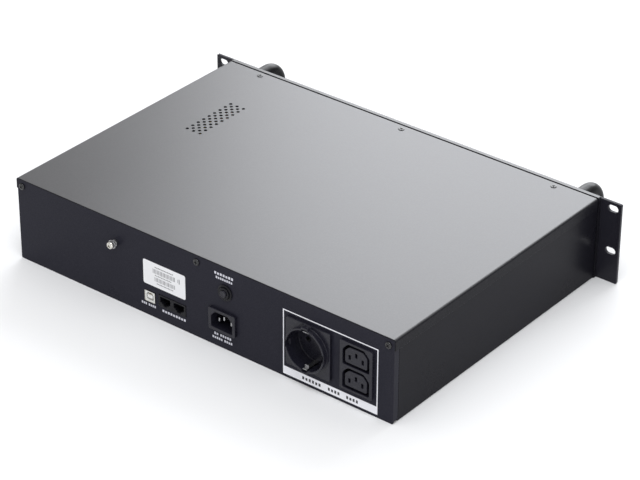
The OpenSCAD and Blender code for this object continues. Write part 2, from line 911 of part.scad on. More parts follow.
module output_marking()
    color("#f0f0f4")
    prism(rear_y, rear_y + ink_t)
        difference() {
            translate([mark_x0, mark_z0]) square([mark_x1 - mark_x0, mark_z1 - mark_z0]);
            translate([mark_x0 + mark_line, mark_z0 + mark_band])
                square([mark_x1 - mark_x0 - 2 * mark_line, mark_z1 - mark_z0 - mark_band - mark_line]);
        }

// ---------- front controls ----------

module display_window()
    color("#0c1016")
    at(window_x, window_z) {
        prism(plate_y + 0.2, front_in) round_rect(window_w, window_h, 2.5);
        prism(front_in, lens_y) round_rect(window_w + 2 * lens_rim, window_h + 2 * lens_rim, 2.5);
    }

module lcd_module()
    color("#5c7a6c")
    at(window_x, window_z) {
        prism(lens_y, board_y - 2) round_rect(lcd_w, lcd_h, 1);
        prism(board_y - 2, board_y) square([lcd_w - 8, lcd_h - 8], center = true);
    }

module display_board()
    color("#1f5c38")
    prism(board_y, board_y + board_t)
        difference() {
            translate([display_x[0] - display_edge, display_z[0] - display_edge])
                square([display_x[1] - display_x[0] + 2 * display_edge,
                    display_z[1] - display_z[0] + 2 * display_edge]);
            for (x = display_x, z = display_z)
                translate([x, z]) circle(m3_r + play);
        }

module display_standoffs()
    color("#b9b8b0")
    display_post_places()
    difference() {
        rod(post_r, front_in, board_y);
        rod(m3_r, board_y - 6, board_y + 1);
    }

// A front button: cap, retaining collar and stem, all one moulding
module front_button(d) {
    rod(d / 2, cap_y, collar_y);
    rod(d / 2 + collar_w, collar_y, collar_y + collar_t);
    rod(stem_r, collar_y + collar_t, stem_end);
}

module power_button()
    color("#d8d8da")
    at(button_x, power_z) front_button(power_d);

module select_button()
    color("#d8d8da")
    at(button_x, select_z) front_button(select_d);

module button_guide()
    color("#2a2a2e")
    at(button_x, guide_z)
    difference() {
        union() {
            prism(guide_y, guide_y + guide_t) round_rect(guide_w, guide_h, 2);
            for (s = sides)
                at(s * guide_post, 0) rod(1.6, front_in, guide_y);
        }
        for (z = [power_z, select_z])
            at(0, z - guide_z) rod(stem_r + play, guide_y - 1, guide_y + guide_t + 1);
    }

module front_switches()
    color("#17171a")
    for (z = [power_z, select_z])
        at(button_x, z)
        difference() {
            prism(switch_y, board_y) square([switch_w, switch_w], center = true);
            rod(stem_r + play, switch_y - 1, board_y - 0.8);
        }

module status_lenses()
    color("#9fd6a8")
    for (z = light_z)
        at(light_x, z) rod(light_d / 2, plate_y - light_out, board_y - led_h);

module status_leds()
    color("#e8f0e0")
    for (z = light_z)
        at(light_x, z) rod(2.5, board_y - led_h, board_y);

// ---------- batteries ----------

// The cells of a battery block, split into n upright slices with gaps between and round them
module battery_cells(n, gap)
    for (i = [0:cells - 1], k = [0:n - 1])
        let (x = battery_wall - battery_l / 2 + i * cell_pitch, w = (cell_pitch - battery_wall - gap) / n)
        block([x + gap + k * w, battery_wall + gap - battery_w / 2, battery_wall + gap],
            [x + (k + 1) * w, battery_w / 2 - lid_h - gap, battery_t - battery_wall - gap]);

module battery()
    color("#2c2d31")
    difference() {
        union() {
            block([-battery_l / 2, -battery_w / 2, 0], [battery_l / 2, battery_w / 2 - lid_h, battery_t]);
            block([0.4 - battery_l / 2, battery_w / 2 - lid_h, 0.4],
                [battery_l / 2 - 0.4, battery_w / 2 - lid_h + 0.8, battery_t - 0.4]);
            block([-battery_l / 2, battery_w / 2 - lid_h + 0.8, 0], [battery_l / 2, battery_w / 2,
                battery_t]);
        }
        battery_cells(1, 0);
    }

module battery_front()
    translate([battery_x, battery_y[0], floor_z]) battery();

module battery_rear()
    translate([battery_x, battery_y[1], floor_z]) battery();

module battery_plates()
    color("#6b6d70")
    for (y = battery_y)
        translate([battery_x, y, floor_z]) battery_cells(5, plate_gap);

module battery_terminals()
    color("#d9d7d0")
    for (y = battery_y, s = sides)
        translate([battery_x + s * (battery_l / 2 - tab_in), y + battery_w / 2, battery_top - tab_in])
            block([-tab_w / 2, 0, -tab_t / 2], [tab_w / 2, tab_l, tab_t / 2]);

module battery_straps()
    color("#9a9b9e")
    for (y = battery_y)
        translate([battery_x, y, 0])
        difference() {
            union() {
                block([-battery_l / 2 - strap_t, -strap_w / 2, battery_top],
                    [battery_l / 2 + strap_t, strap_w / 2, battery_top + strap_t]);
                for (s = sides) {
                    at(s * (battery_l / 2 + strap_t / 2), 0)
                        block([-strap_t / 2, -strap_w / 2, floor_z], [strap_t / 2, strap_w / 2,
                            battery_top]);
                    at(s * (battery_l / 2 + strap_t + strap_foot / 2), 0)
                        block([-strap_foot / 2, -strap_w / 2, floor_z], [strap_foot / 2, strap_w / 2,
                            floor_z + strap_t]);
                }
            }
            for (s = sides)
                translate([s * (battery_l / 2 + strap_t + strap_foot / 2), 0, 0])
                    cylinder(r = m4_r + play, h = 10);
        }

module base_screws()
    color("#9a9b9e")
    base_screw_places() {
        translate([0, 0, floor_z + strap_t]) cylinder(r = 3.6, h = 2.4);
        translate([0, 0, 0.2]) cylinder(r = m4_r, h = floor_z + strap_t - 0.2);
    }

// ---------- transformer ----------

module transformer_bolt_places()
    for (x = sides, y = sides)
        translate([transformer_x + x * bolt_x, transformer_y + y * bolt_y, 0]) children();

module transformer_core()
    color("#5a5c60")
    difference() {
        translate([transformer_x, transformer_y, core_z]) linear_extrude(core_stack)
            difference() {
                square([core_w, core_l], center = true);
                for (s = sides)
                    translate([s * (core_leg + core_gap) / 2, 0]) square([core_gap, core_w / 2],
                        center = true);
            }
        transformer_bolt_places() translate([0, 0, core_z - 1]) cylinder(r = m5_r + play,
            h = core_stack + 2);
    }

module transformer_coil()
    color("#b4552a")
    translate([transformer_x, transformer_y, core_z + core_stack / 2])
        prism(-coil_l / 2, coil_l / 2)
            difference() {
                round_rect(coil_w, core_stack + 2 * coil_build, 6);
                square([core_leg, core_stack], center = true);
            }

module transformer_frame()
    color("#9a9b9e")
    difference() {
        for (k = [0, 1])
            translate([transformer_x, transformer_y, 0]) mirror([k, 0, 0]) {
                block([core_w / 2 - rail_w, -core_l / 2, core_z - rail_t], [core_w / 2 + rail_t,
                    core_l / 2, core_z]);
                block([core_w / 2, -core_l / 2, floor_z], [core_w / 2 + rail_t, core_l / 2, core_z]);
                block([core_w / 2, -core_l / 2, floor_z],
                    [core_w / 2 + rail_t + foot_w, core_l / 2, floor_z + rail_t]);
            }
        transformer_bolt_places() cylinder(r = m5_r + play, h = core_z + 1);
        base_screw_places() cylinder(r = m4_r + play, h = 10);
    }

module transformer_bolts()
    color("#8f9094")
    transformer_bolt_places() {
        translate([0, 0, core_z - rail_t - 5]) cylinder(r = m5_r, h = core_stack + rail_t + 5);
        translate([0, 0, core_top]) cylinder(r = 4.6, h = 3.5, $fn = 6);
        translate([0, 0, core_z - rail_t - 4]) cylinder(r = 4.6, h = 4, $fn = 6);
    }

module transformer_leads()
    color("#d9b310")
    for (r = coil_routes)
        cable(r, wire_r);

// ---------- boards ----------

module board(x, y, z)
    difference() {
        block([x[0], y[0], z], [x[1], y[1], z + board_t]);
        for (p = board_posts)
            translate([p[0], p[1], z - 1]) cylinder(r = m3_r + play, h = board_t + 2);
    }

module main_board()
    color("#1f5c38")
    board(main_x, main_y, main_z);

module comms_board()
    color("#1f5c38")
    board(comms_x, comms_y, comms_z);

module board_standoffs()
    color("#b9b8b0")
    for (p = board_posts)
        translate([p[0], p[1], floor_z])
        difference() {
            cylinder(r = post_r, h = p[2] - floor_z);
            translate([0, 0, 3]) cylinder(r = m3_r, h = p[2]);
        }

module board_screws()
    color("#8f9094") {
        for (p = board_posts)
            translate([p[0], p[1], p[2]]) {
                translate([0, 0, board_t]) cylinder(r = 2.8, h = 2);
                translate([0, 0, -5]) cylinder(r = m3_r, h = board_t + 5);
            }
        display_post_places() {
            rod(2.8, board_y + board_t, board_y + board_t + 2);
            rod(m3_r, board_y - 5, board_y + board_t);
        }
    }

module heatsinks()
    color("#b8bbbf")
    for (y = sink_y)
        translate([main_x[0] + 42, y, main_top]) {
            block([0, 0, 0], [sink_l, sink_back, sink_h]);
            for (i = [0:sink_fins - 1])
                block([0, sink_back, 2 + i * fin_pitch], [sink_l, sink_back + fin_out,
                    2 + fin_t + i * fin_pitch]);
        }

module transistors()
    color("#17171a")
    for (y = sink_y, i = [0:3])
        translate([main_x[0] + 50 + i * 20, y - transistor_t, main_top + 3]) cube([transistor_w,
            transistor_t, 20]);

module capacitors()
    color("#2a3550")
    for (p = capacitor_places)
        translate([p[0], p[1], main_top]) cylinder(r = 8, h = 30);

module relays()
    color("#26272b")
    for (i = [0:3])
        translate([70 + i * 26, 80, main_top]) cube([20, 14, 16]);

// ---------- cables ----------

module battery_leads()
    color("#a5201c") {
        cable(link_route, lead_r);
        cable(minus_route, lead_r);
        cable(plus_route, lead_r);
    }

module mains_wiring()
    color("#6a4a2c")
    for (r = [earth_route, line_route, neutral_route, breaker_route, round_line_route,
        round_neutral_route,
        block_line_route])
        cable(r, wire_r);

module display_lead()
    color("#8e8f92")
    cable(display_route, wire_r);

chassis_base();
rear_panel();
front_frame();
top_cover();
front_plate();
handle_left();
handle_right();
handle_screws();
cover_screws_top();
cover_screws_rear();
inlet_body();
inlet_pins();
breaker_body();
breaker_nut();
breaker_button();
round_outlet_body();
outlet_earth_clips();
outlet_contacts();
iec_outlet_body();
iec_contacts();
usb_shell();
usb_insert();
phone_jacks();
jack_contacts();
ground_screw();
ground_hardware();
rear_label();
output_marking();
display_window();
lcd_module();
display_board();
display_standoffs();
power_button();
select_button();
button_guide();
front_switches();
status_lenses();
status_leds();
battery_front();
battery_rear();
battery_plates();
battery_terminals();
battery_straps();
base_screws();
transformer_core();
transformer_coil();
transformer_frame();
transformer_bolts();
transformer_leads();
main_board();
board_standoffs();
board_screws();
heatsinks();
transistors();
capacitors();
relays();
comms_board();
battery_leads();
mains_wiring();
display_lead();
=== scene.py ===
import math

import bmesh
import bpy
from mathutils import Matrix, Vector


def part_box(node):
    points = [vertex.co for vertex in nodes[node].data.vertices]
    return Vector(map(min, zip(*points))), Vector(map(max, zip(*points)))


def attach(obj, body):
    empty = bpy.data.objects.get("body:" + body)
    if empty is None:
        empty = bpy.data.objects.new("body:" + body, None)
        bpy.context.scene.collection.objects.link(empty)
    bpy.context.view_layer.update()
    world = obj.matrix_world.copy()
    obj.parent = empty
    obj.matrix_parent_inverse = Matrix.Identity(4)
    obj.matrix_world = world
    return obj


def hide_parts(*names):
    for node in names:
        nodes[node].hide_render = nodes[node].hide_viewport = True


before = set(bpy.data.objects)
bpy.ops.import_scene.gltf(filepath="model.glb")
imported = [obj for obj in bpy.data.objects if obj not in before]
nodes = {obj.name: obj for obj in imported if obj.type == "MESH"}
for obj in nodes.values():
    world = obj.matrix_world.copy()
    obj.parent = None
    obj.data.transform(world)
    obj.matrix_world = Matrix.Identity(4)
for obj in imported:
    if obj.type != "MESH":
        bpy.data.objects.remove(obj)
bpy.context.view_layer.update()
mm = 0.001  # lengths are in metres, so a number of millimetres is times mm
print("frame loaded with", len(nodes), "nodes")


def putNode(tree, kind, place=(0, 0), **values):
    node = tree.nodes.new(kind)
    node.location = place
    for name, value in values.items():
        setattr(node, name, value)
    return node


def setInputs(node, **values):
    for name, value in values.items():
        node.inputs[name.replace("_", " ")].default_value = value
    return node


def newGroup(name, inputs, outputs):
    tree = bpy.data.node_groups.new(name, "ShaderNodeTree")
    for label, kind, value in inputs:
        socket = tree.interface.new_socket(label, in_out="INPUT", socket_type=kind)
        socket.default_value = value
    for label, kind in outputs:
        tree.interface.new_socket(label, in_out="OUTPUT", socket_type=kind)
    return tree, putNode(tree, "NodeGroupInput", (-900, 0)), putNode(tree, "NodeGroupOutput", (900, 0))


def mixColour(tree, factor, first, second, place=(0, 0), blend="MIX"):
    node = putNode(tree, "ShaderNodeMix", place, data_type="RGBA", blend_type=blend)
    for socket, value in ((node.inputs[0], factor), (node.inputs[6], first), (node.inputs[7], second)):
        if hasattr(value, "is_linked"):
            tree.links.new(value, socket)
        else:
            socket.default_value = value
    return node.outputs[2]


def mathNode(tree, operation, first, second=0.0, place=(0, 0), clamp=False):
    node = putNode(tree, "ShaderNodeMath", place, operation=operation, use_clamp=clamp)
    for socket, value in ((node.inputs[0], first), (node.inputs[1], second)):
        if hasattr(value, "is_linked"):
            tree.links.new(value, socket)
        else:
            socket.default_value = value
    return node.outputs[0]


def rgba(red, green=None, blue=None):
    green = red if green is None else green
    return (red, green, red if blue is None else blue, 1.0)


# Grain: fine specks, broad patches, and a height for the bump, all on Object coordinates
def buildSurfaceGrain():
    tree, enter, leave = newGroup(
        "surfaceGrain",
        [
            ("Colour", "NodeSocketColor", rgba(0.1)),
            ("Speck Colour", "NodeSocketColor", rgba(0.2)),
            ("Patch Colour", "NodeSocketColor", rgba(0.15)),
            ("Speck Scale", "NodeSocketFloat", 1200.0),
            ("Patch Scale", "NodeSocketFloat", 14.0),
            ("Speck Share", "NodeSocketFloat", 0.4),
            ("Patch Share", "NodeSocketFloat", 0.3),
            ("Rough Low", "NodeSocketFloat", 0.3),
            ("Rough High", "NodeSocketFloat", 0.4),
            ("Stretch", "NodeSocketVector", (1.0, 1.0, 1.0)),
        ],
        [("Colour", "NodeSocketColor"), ("Roughness", "NodeSocketFloat"), ("Height", "NodeSocketFloat")],
    )
    where = putNode(tree, "ShaderNodeTexCoord", (-900, 300))
    stretch = putNode(tree, "ShaderNodeVectorMath", (-700, 300), operation="MULTIPLY")
    speck = putNode(tree, "ShaderNodeTexNoise", (-450, 300))
    setInputs(speck, Detail=2.0, Roughness=0.6)
    patch = putNode(tree, "ShaderNodeTexNoise", (-450, -100))
    setInputs(patch, Detail=4.0, Roughness=0.55)
    link = tree.links.new
    link(where.outputs["Object"], stretch.inputs[0])
    link(enter.outputs["Stretch"], stretch.inputs[1])
    link(stretch.outputs[0], speck.inputs["Vector"])
    link(where.outputs["Object"], patch.inputs["Vector"])
    link(enter.outputs["Speck Scale"], speck.inputs["Scale"])
    link(enter.outputs["Patch Scale"], patch.inputs["Scale"])
    speckRange = putNode(tree, "ShaderNodeMapRange", (-200, 300))
    setInputs(speckRange, From_Min=0.42, From_Max=0.68)
    link(speck.outputs["Fac"], speckRange.inputs["Value"])
    patchRange = putNode(tree, "ShaderNodeMapRange", (-200, -100))
    setInputs(patchRange, From_Min=0.35, From_Max=0.7)
    link(patch.outputs["Fac"], patchRange.inputs["Value"])
    speckMask = mathNode(tree, "MULTIPLY", speckRange.outputs[0], enter.outputs["Speck Share"], (0, 300))
    patchMask = mathNode(tree, "MULTIPLY", patchRange.outputs[0], enter.outputs["Patch Share"], (0, -50))
    broad = mixColour(tree, patchMask, enter.outputs["Colour"], enter.outputs["Patch Colour"], (200, 0))
    link(mixColour(tree, speckMask, broad, enter.outputs["Speck Colour"], (400, 150)), leave.inputs["Colour"])
    rough = putNode(tree, "ShaderNodeMapRange", (200, -300))
    half = mathNode(tree, "MULTIPLY", speckRange.outputs[0], 0.5, (0, -200))
    otherHalf = mathNode(tree, "MULTIPLY", patchRange.outputs[0], 0.5, (0, -400))
    link(mathNode(tree, "ADD", half, otherHalf, (100, -300)), rough.inputs["Value"])
    link(enter.outputs["Rough Low"], rough.inputs["To Min"])
    link(enter.outputs["Rough High"], rough.inputs["To Max"])
    link(rough.outputs[0], leave.inputs["Roughness"])
    link(speck.outputs["Fac"], leave.inputs["Height"])
    return tree


# Dust that lies thinly on faces that look up, in soft drifts
def buildDustFilm():
    tree, enter, leave = newGroup(
        "dustFilm",
        [
            ("Colour", "NodeSocketColor", rgba(0.1)),
            ("Dust Colour", "NodeSocketColor", rgba(0.42, 0.41, 0.39)),
            ("Amount", "NodeSocketFloat", 0.05),
        ],
        [("Colour", "NodeSocketColor")],
    )
    where = putNode(tree, "ShaderNodeTexCoord", (-900, 300))
    shape = putNode(tree, "ShaderNodeNewGeometry", (-900, -300))
    split = putNode(tree, "ShaderNodeSeparateXYZ", (-700, -300))
    drift = putNode(tree, "ShaderNodeTexNoise", (-700, 300))
    setInputs(drift, Scale=9.0, Detail=6.0, Roughness=0.65)
    fleck = putNode(tree, "ShaderNodeTexVoronoi", (-700, 100), feature="F1")
    setInputs(fleck, Scale=260.0, Randomness=1.0)
    tree.links.new(where.outputs["Object"], drift.inputs["Vector"])
    tree.links.new(where.outputs["Object"], fleck.inputs["Vector"])
    tree.links.new(shape.outputs["Normal"], split.inputs[0])
    up = mathNode(tree, "MULTIPLY", split.outputs["Z"], 1.0, (-500, -300), clamp=True)
    spots = putNode(tree, "ShaderNodeMapRange", (-450, 100))
    setInputs(spots, From_Min=0.16, From_Max=0.05, To_Min=0.0, To_Max=1.0)
    tree.links.new(fleck.outputs["Distance"], spots.inputs["Value"])
    both = mathNode(tree, "MAXIMUM", drift.outputs["Fac"], spots.outputs[0], (-250, 200))
    lying = mathNode(tree, "MULTIPLY", both, up, (-50, 0))
    mask = mathNode(tree, "MULTIPLY", lying, enter.outputs["Amount"], (150, 0))
    tree.links.new(mixColour(tree, mask, enter.outputs["Colour"], enter.outputs["Dust Colour"], (400, 0)),
                   leave.inputs["Colour"])
    return tree


surfaceGrain = buildSurfaceGrain()
dustFilm = buildDustFilm()


# A finish: its colour, the colours of its specks and patches, how close both lie, their shares, the
# range of its roughness and the strength of its bump
def finish(colour, speck, patch, speckScale, patchScale, shares, rough, bump, **more):
    return {"colour": rgba(*colour), "speck": rgba(*speck), "patch": rgba(*patch), "speckScale": speckScale,
            "patchScale": patchScale, "speckShare": shares[0], "patchShare": shares[1], "rough": rough,
            "bump": bump, **more}


finishes = {
    "casePaint": finish(
        (0.0062, 0.006, 0.0088), (0.022, 0.0218, 0.028), (0.0098, 0.0095, 0.0135), 1500, 11, (0.4, 0.5),
        (0.27, 0.36), 0.1, dust=0.012, specular=0.07),
    # Rear panel: the case's black paint made lighter, as painted light on the rear face
    "rearPaintPaintedLight": finish(
        (0.015, 0.0148, 0.0225), (0.034, 0.0335, 0.044), (0.019, 0.0187, 0.0275), 1500, 11, (0.4, 0.5),
        (0.27, 0.36), 0.1, dust=0.008, specular=0.07),
    "coverPaint": finish(
        (0.0066, 0.0064, 0.009), (0.026, 0.026, 0.031), (0.011, 0.0108, 0.0145), 750, 9, (0.5, 0.5),
        (0.28, 0.37), 0.26, dust=0.03, specular=0.07, topCoat=1.0),
    "frontPaint": finish(
        (0.0135, 0.013, 0.0185), (0.03, 0.03, 0.038), (0.0175, 0.017, 0.023), 1500, 16, (0.4, 0.5),
        (0.3, 0.38), 0.11, dust=0.015, specular=0.16),
    "handlePaint": finish(
        (0.006, 0.006, 0.0068), (0.02, 0.02, 0.022), (0.01, 0.01, 0.011), 1300, 30, (0.4, 0.5),
        (0.26, 0.36), 0.1, dust=0.006, specular=0.06, topCoat=0.5),
    "blackScrew": finish(
        (0.003, 0.003, 0.004), (0.016, 0.016, 0.017), (0.006, 0.006, 0.007), 2200, 300, (0.4, 0.6),
        (0.11, 0.18), 0.05, specular=0.6),
    "flatScrew": finish(
        (0.004, 0.004, 0.005), (0.018, 0.018, 0.02), (0.007, 0.007, 0.008), 2200, 300, (0.4, 0.6),
        (0.22, 0.32), 0.06, specular=0.25, topCoat=0.8),
    "dullZinc": finish(
        (0.42, 0.42, 0.43), (0.58, 0.58, 0.57), (0.33, 0.33, 0.35), 1300, 200, (0.5, 0.6), (0.24, 0.38),
        0.06, metallic=1.0),
    "zincSteel": finish(
        (0.5, 0.5, 0.51), (0.66, 0.66, 0.65), (0.4, 0.41, 0.44), 900, 60, (0.5, 0.6), (0.26, 0.42),
        0.08, metallic=1.0),
    "socketPlastic": finish(
        (0.0095, 0.0092, 0.0155), (0.023, 0.0225, 0.032), (0.013, 0.0126, 0.02), 2600, 55, (0.35, 0.5),
        (0.24, 0.34), 0.07, specular=0.36),
    "breakerPlastic": finish(
        (0.0055, 0.0055, 0.0075), (0.016, 0.016, 0.02), (0.009, 0.009, 0.011), 2400, 120, (0.3, 0.5),
        (0.24, 0.34), 0.06, specular=0.2),
    "nickel": finish(
        (0.7, 0.68, 0.63), (0.86, 0.85, 0.8), (0.58, 0.56, 0.52), 1400, 220, (0.4, 0.5), (0.12, 0.24),
        0.03, metallic=1.0),
    "contactBrass": finish(
        (0.62, 0.44, 0.17), (0.75, 0.58, 0.28), (0.44, 0.3, 0.12), 1300, 160, (0.4, 0.5), (0.18, 0.32),
        0.04, metallic=1.0),
    "portWhite": finish(
        (0.76, 0.76, 0.74), (0.66, 0.66, 0.66), (0.82, 0.82, 0.8), 2000, 200, (0.3, 0.4), (0.24, 0.36),
        0.04),
    "labelPaper": finish(
        (0.82, 0.82, 0.835), (0.73, 0.73, 0.75), (0.86, 0.86, 0.87), 2800, 90, (0.35, 0.4),
        (0.42, 0.58), 0.05),
    "whiteInk": finish(
        (0.84, 0.84, 0.88), (0.7, 0.7, 0.75), (0.89, 0.89, 0.92), 2400, 120, (0.35, 0.4), (0.4, 0.52),
        0.08),
    "captionInk": finish(
        (0.6, 0.6, 0.66), (0.46, 0.46, 0.52), (0.66, 0.66, 0.72), 2400, 120, (0.35, 0.4), (0.4, 0.52),
        0.08),
    "blackInk": finish(
        (0.02, 0.02, 0.024), (0.05, 0.05, 0.055), (0.03, 0.03, 0.034), 2400, 120, (0.35, 0.4),
        (0.42, 0.55), 0.05),
    "greyInk": finish(
        (0.2, 0.2, 0.21), (0.34, 0.34, 0.35), (0.15, 0.15, 0.16), 2600, 400, (0.5, 0.5), (0.45, 0.58),
        0.03),
    "buttonPlastic": finish(
        (0.36, 0.36, 0.38), (0.44, 0.44, 0.46), (0.32, 0.32, 0.34), 2400, 90, (0.4, 0.5), (0.32, 0.44),
        0.07),
    "innerPlastic": finish(
        (0.012, 0.012, 0.013), (0.03, 0.03, 0.032), (0.02, 0.02, 0.021), 1800, 60, (0.4, 0.5),
        (0.4, 0.55), 0.08),
    "ledWhite": finish(
        (0.8, 0.82, 0.74), (0.7, 0.72, 0.6), (0.84, 0.86, 0.78), 2000, 300, (0.3, 0.4), (0.25, 0.35),
        0.03),
    "batteryPlastic": finish(
        (0.024, 0.025, 0.029), (0.05, 0.051, 0.056), (0.032, 0.033, 0.037), 900, 18, (0.5, 0.5),
        (0.42, 0.58), 0.14, dust=0.08),
    "leadPlates": finish(
        (0.13, 0.135, 0.145), (0.22, 0.22, 0.23), (0.09, 0.095, 0.1), 500, 40, (0.5, 0.7), (0.5, 0.7),
        0.3, metallic=1.0),
    "sinkAluminium": finish(
        (0.62, 0.63, 0.65), (0.74, 0.75, 0.76), (0.52, 0.53, 0.56), 900, 30, (0.6, 0.5), (0.28, 0.44),
        0.1, metallic=1.0, stretch=(0.03, 1.0, 1.0)),
    "capSleeve": finish(
        (0.016, 0.03, 0.085), (0.03, 0.052, 0.12), (0.022, 0.038, 0.1), 1200, 50, (0.4, 0.5),
        (0.22, 0.34), 0.05),
    "cableRed": finish(
        (0.36, 0.016, 0.012), (0.46, 0.04, 0.032), (0.3, 0.012, 0.01), 1500, 70, (0.4, 0.5),
        (0.36, 0.5), 0.08),
    "cableBrown": finish(
        (0.13, 0.06, 0.026), (0.19, 0.095, 0.045), (0.1, 0.045, 0.02), 1500, 70, (0.4, 0.5),
        (0.36, 0.5), 0.08),
    "cableGrey": finish(
        (0.26, 0.26, 0.28), (0.34, 0.34, 0.36), (0.22, 0.22, 0.24), 1500, 70, (0.4, 0.5), (0.36, 0.5),
        0.08),
    "cableYellow": finish(
        (0.68, 0.44, 0.01), (0.76, 0.54, 0.05), (0.58, 0.37, 0.01), 1500, 70, (0.4, 0.5), (0.36, 0.5),
        0.08),
}


def startMaterial(name):
    material = bpy.data.materials.new(name)
    material.use_nodes = True
    tree = material.node_tree
    tree.nodes.clear()
    leave = putNode(tree, "ShaderNodeOutputMaterial", (900, 0))
    shader = putNode(tree, "ShaderNodeBsdfPrincipled", (600, 0))
    tree.links.new(shader.outputs[0], leave.inputs["Surface"])
    return material, tree, shader


def addGrain(tree, recipe):
    grain = putNode(tree, "ShaderNodeGroup", (-500, 0), node_tree=surfaceGrain)
    setInputs(grain, Colour=recipe["colour"], Speck_Colour=recipe["speck"], Patch_Colour=recipe["patch"],
              Speck_Scale=recipe["speckScale"], Patch_Scale=recipe["patchScale"],
              Speck_Share=recipe["speckShare"], Patch_Share=recipe["patchShare"],
              Rough_Low=recipe["rough"][0], Rough_High=recipe["rough"][1],
              Stretch=recipe.get("stretch", (1.0, 1.0, 1.0)))
    return grain


def addBump(tree, shader, height, strength):
    bump = putNode(tree, "ShaderNodeBump", (350, -300))
    setInputs(bump, Strength=strength, Distance=0.2 * mm)
    tree.links.new(height, bump.inputs["Height"])
    tree.links.new(bump.outputs[0], shader.inputs["Normal"])


def makeFinish(name):
    recipe = finishes[name]
    material, tree, shader = startMaterial(name)
    grain = addGrain(tree, recipe)
    colour = grain.outputs["Colour"]
    if recipe.get("dust"):
        dust = putNode(tree, "ShaderNodeGroup", (0, 100), node_tree=dustFilm)
        setInputs(dust, Amount=recipe["dust"])
        tree.links.new(colour, dust.inputs["Colour"])
        colour = dust.outputs["Colour"]
    tree.links.new(colour, shader.inputs["Base Color"])
    tree.links.new(grain.outputs["Roughness"], shader.inputs["Roughness"])
    setInputs(shader, Metallic=recipe.get("metallic", 0.0), Specular_IOR_Level=recipe.get("specular", 0.5))
    addBump(tree, shader, grain.outputs["Height"], recipe["bump"])
    if recipe.get("topCoat"):  # the level face of the cover shines more than its flanges
        shape = putNode(tree, "ShaderNodeNewGeometry", (-500, -500))
        split = putNode(tree, "ShaderNodeSeparateXYZ", (-300, -500))
        tree.links.new(shape.outputs["Normal"], split.inputs[0])
        level = putNode(tree, "ShaderNodeMapRange", (-100, -500), interpolation_type="SMOOTHSTEP")
        setInputs(level, From_Min=0.45, From_Max=0.95, To_Min=0.0, To_Max=recipe["topCoat"])
        tree.links.new(split.outputs["Z"], level.inputs["Value"])
        tree.links.new(level.outputs[0], shader.inputs["Coat Weight"])
        setInputs(shader, Coat_Roughness=0.30, Coat_IOR=1.62)
    return material


# Glass parts: a tinted clear plastic with faint rubs in its gloss
def makeGlass(name, tint, low, high, transmission):
    material, tree, shader = startMaterial(name)
    darker = [0.85 * part for part in tint]
    grain = addGrain(tree, finish(tint, tint, darker, 1600, 50, (0.0, 0.4), (low, high), 0.0))
    tree.links.new(grain.outputs["Colour"], shader.inputs["Base Color"])
    tree.links.new(grain.outputs["Roughness"], shader.inputs["Roughness"])
    setInputs(shader, Transmission_Weight=transmission, IOR=1.49)
    return material


# Stripes of two colours across a grain: core plates, coil turns, board tracks
def makeStriped(name, recipe, second, texture, metallic):
    material, tree, shader = startMaterial(name)
    grain = addGrain(tree, recipe)
    where = putNode(tree, "ShaderNodeTexCoord", (-900, -400))
    if texture["kind"] == "wave":
        stripe = putNode(tree, "ShaderNodeTexWave", (-500, -400), wave_type="BANDS",
                         bands_direction=texture["direction"])
        setInputs(stripe, Scale=texture["scale"], Distortion=0.4, Detail=1.0)
    else:
        stripe = putNode(tree, "ShaderNodeTexBrick", (-500, -400))
        setInputs(stripe, Scale=texture["scale"], Mortar_Size=0.06, Color1=rgba(0.0), Color2=rgba(0.15),
                  Mortar=rgba(1.0))
    tree.links.new(where.outputs["Object"], stripe.inputs["Vector"])
    factor = stripe.outputs["Fac"]
    striped = mixColour(tree, factor, grain.outputs["Colour"], second, (100, 0))
    tree.links.new(striped, shader.inputs["Base Color"])
    tree.links.new(grain.outputs["Roughness"], shader.inputs["Roughness"])
    setInputs(shader, Metallic=metallic)
    addBump(tree, shader, factor, recipe["bump"])
    return material


made = {name: makeFinish(name) for name in finishes}
made["windowGlass"] = makeGlass("windowGlass", (0.80, 0.84, 0.86), 0.03, 0.09, 1.0)
made["lightPipe"] = makeGlass("lightPipe", (0.62, 0.86, 0.66), 0.10, 0.20, 0.7)
made["boardGreen"] = makeStriped(
    "boardGreen", finish((0.010, 0.075, 0.030), (0.020, 0.11, 0.05), (0.012, 0.09, 0.036), 900, 60,
                         (0.4, 0.5), (0.26, 0.40), 0.15),
    rgba(0.030, 0.16, 0.070), {"kind": "brick", "scale": 90.0}, 0.0)
made["coreSteel"] = makeStriped(
    "coreSteel", finish((0.16, 0.165, 0.175), (0.24, 0.24, 0.25), (0.12, 0.10, 0.09), 700, 35,
                        (0.4, 0.6), (0.38, 0.55), 0.4),
    rgba(0.06, 0.06, 0.065), {"kind": "wave", "direction": "Z", "scale": 320.0}, 1.0)
made["coilCopper"] = makeStriped(
    "coilCopper", finish((0.40, 0.13, 0.045), (0.52, 0.20, 0.08), (0.30, 0.09, 0.03), 900, 40,
                         (0.4, 0.5), (0.22, 0.36), 0.5),
    rgba(0.12, 0.035, 0.012), {"kind": "wave", "direction": "Y", "scale": 260.0}, 1.0)
made["lcdPanel"] = makeStriped(
    "lcdPanel", finish((0.26, 0.38, 0.33), (0.31, 0.43, 0.37), (0.23, 0.34, 0.30), 1400, 30,
                       (0.3, 0.5), (0.16, 0.24), 0.02),
    rgba(0.22, 0.33, 0.285), {"kind": "brick", "scale": 700.0}, 0.0)
print("made", len(made), "finishes")

toRear = Matrix.Rotation(-math.pi / 2, 4, "X")  # a stack along +Z then runs along +Y
toFront = Matrix.Rotation(math.pi / 2, 4, "X")


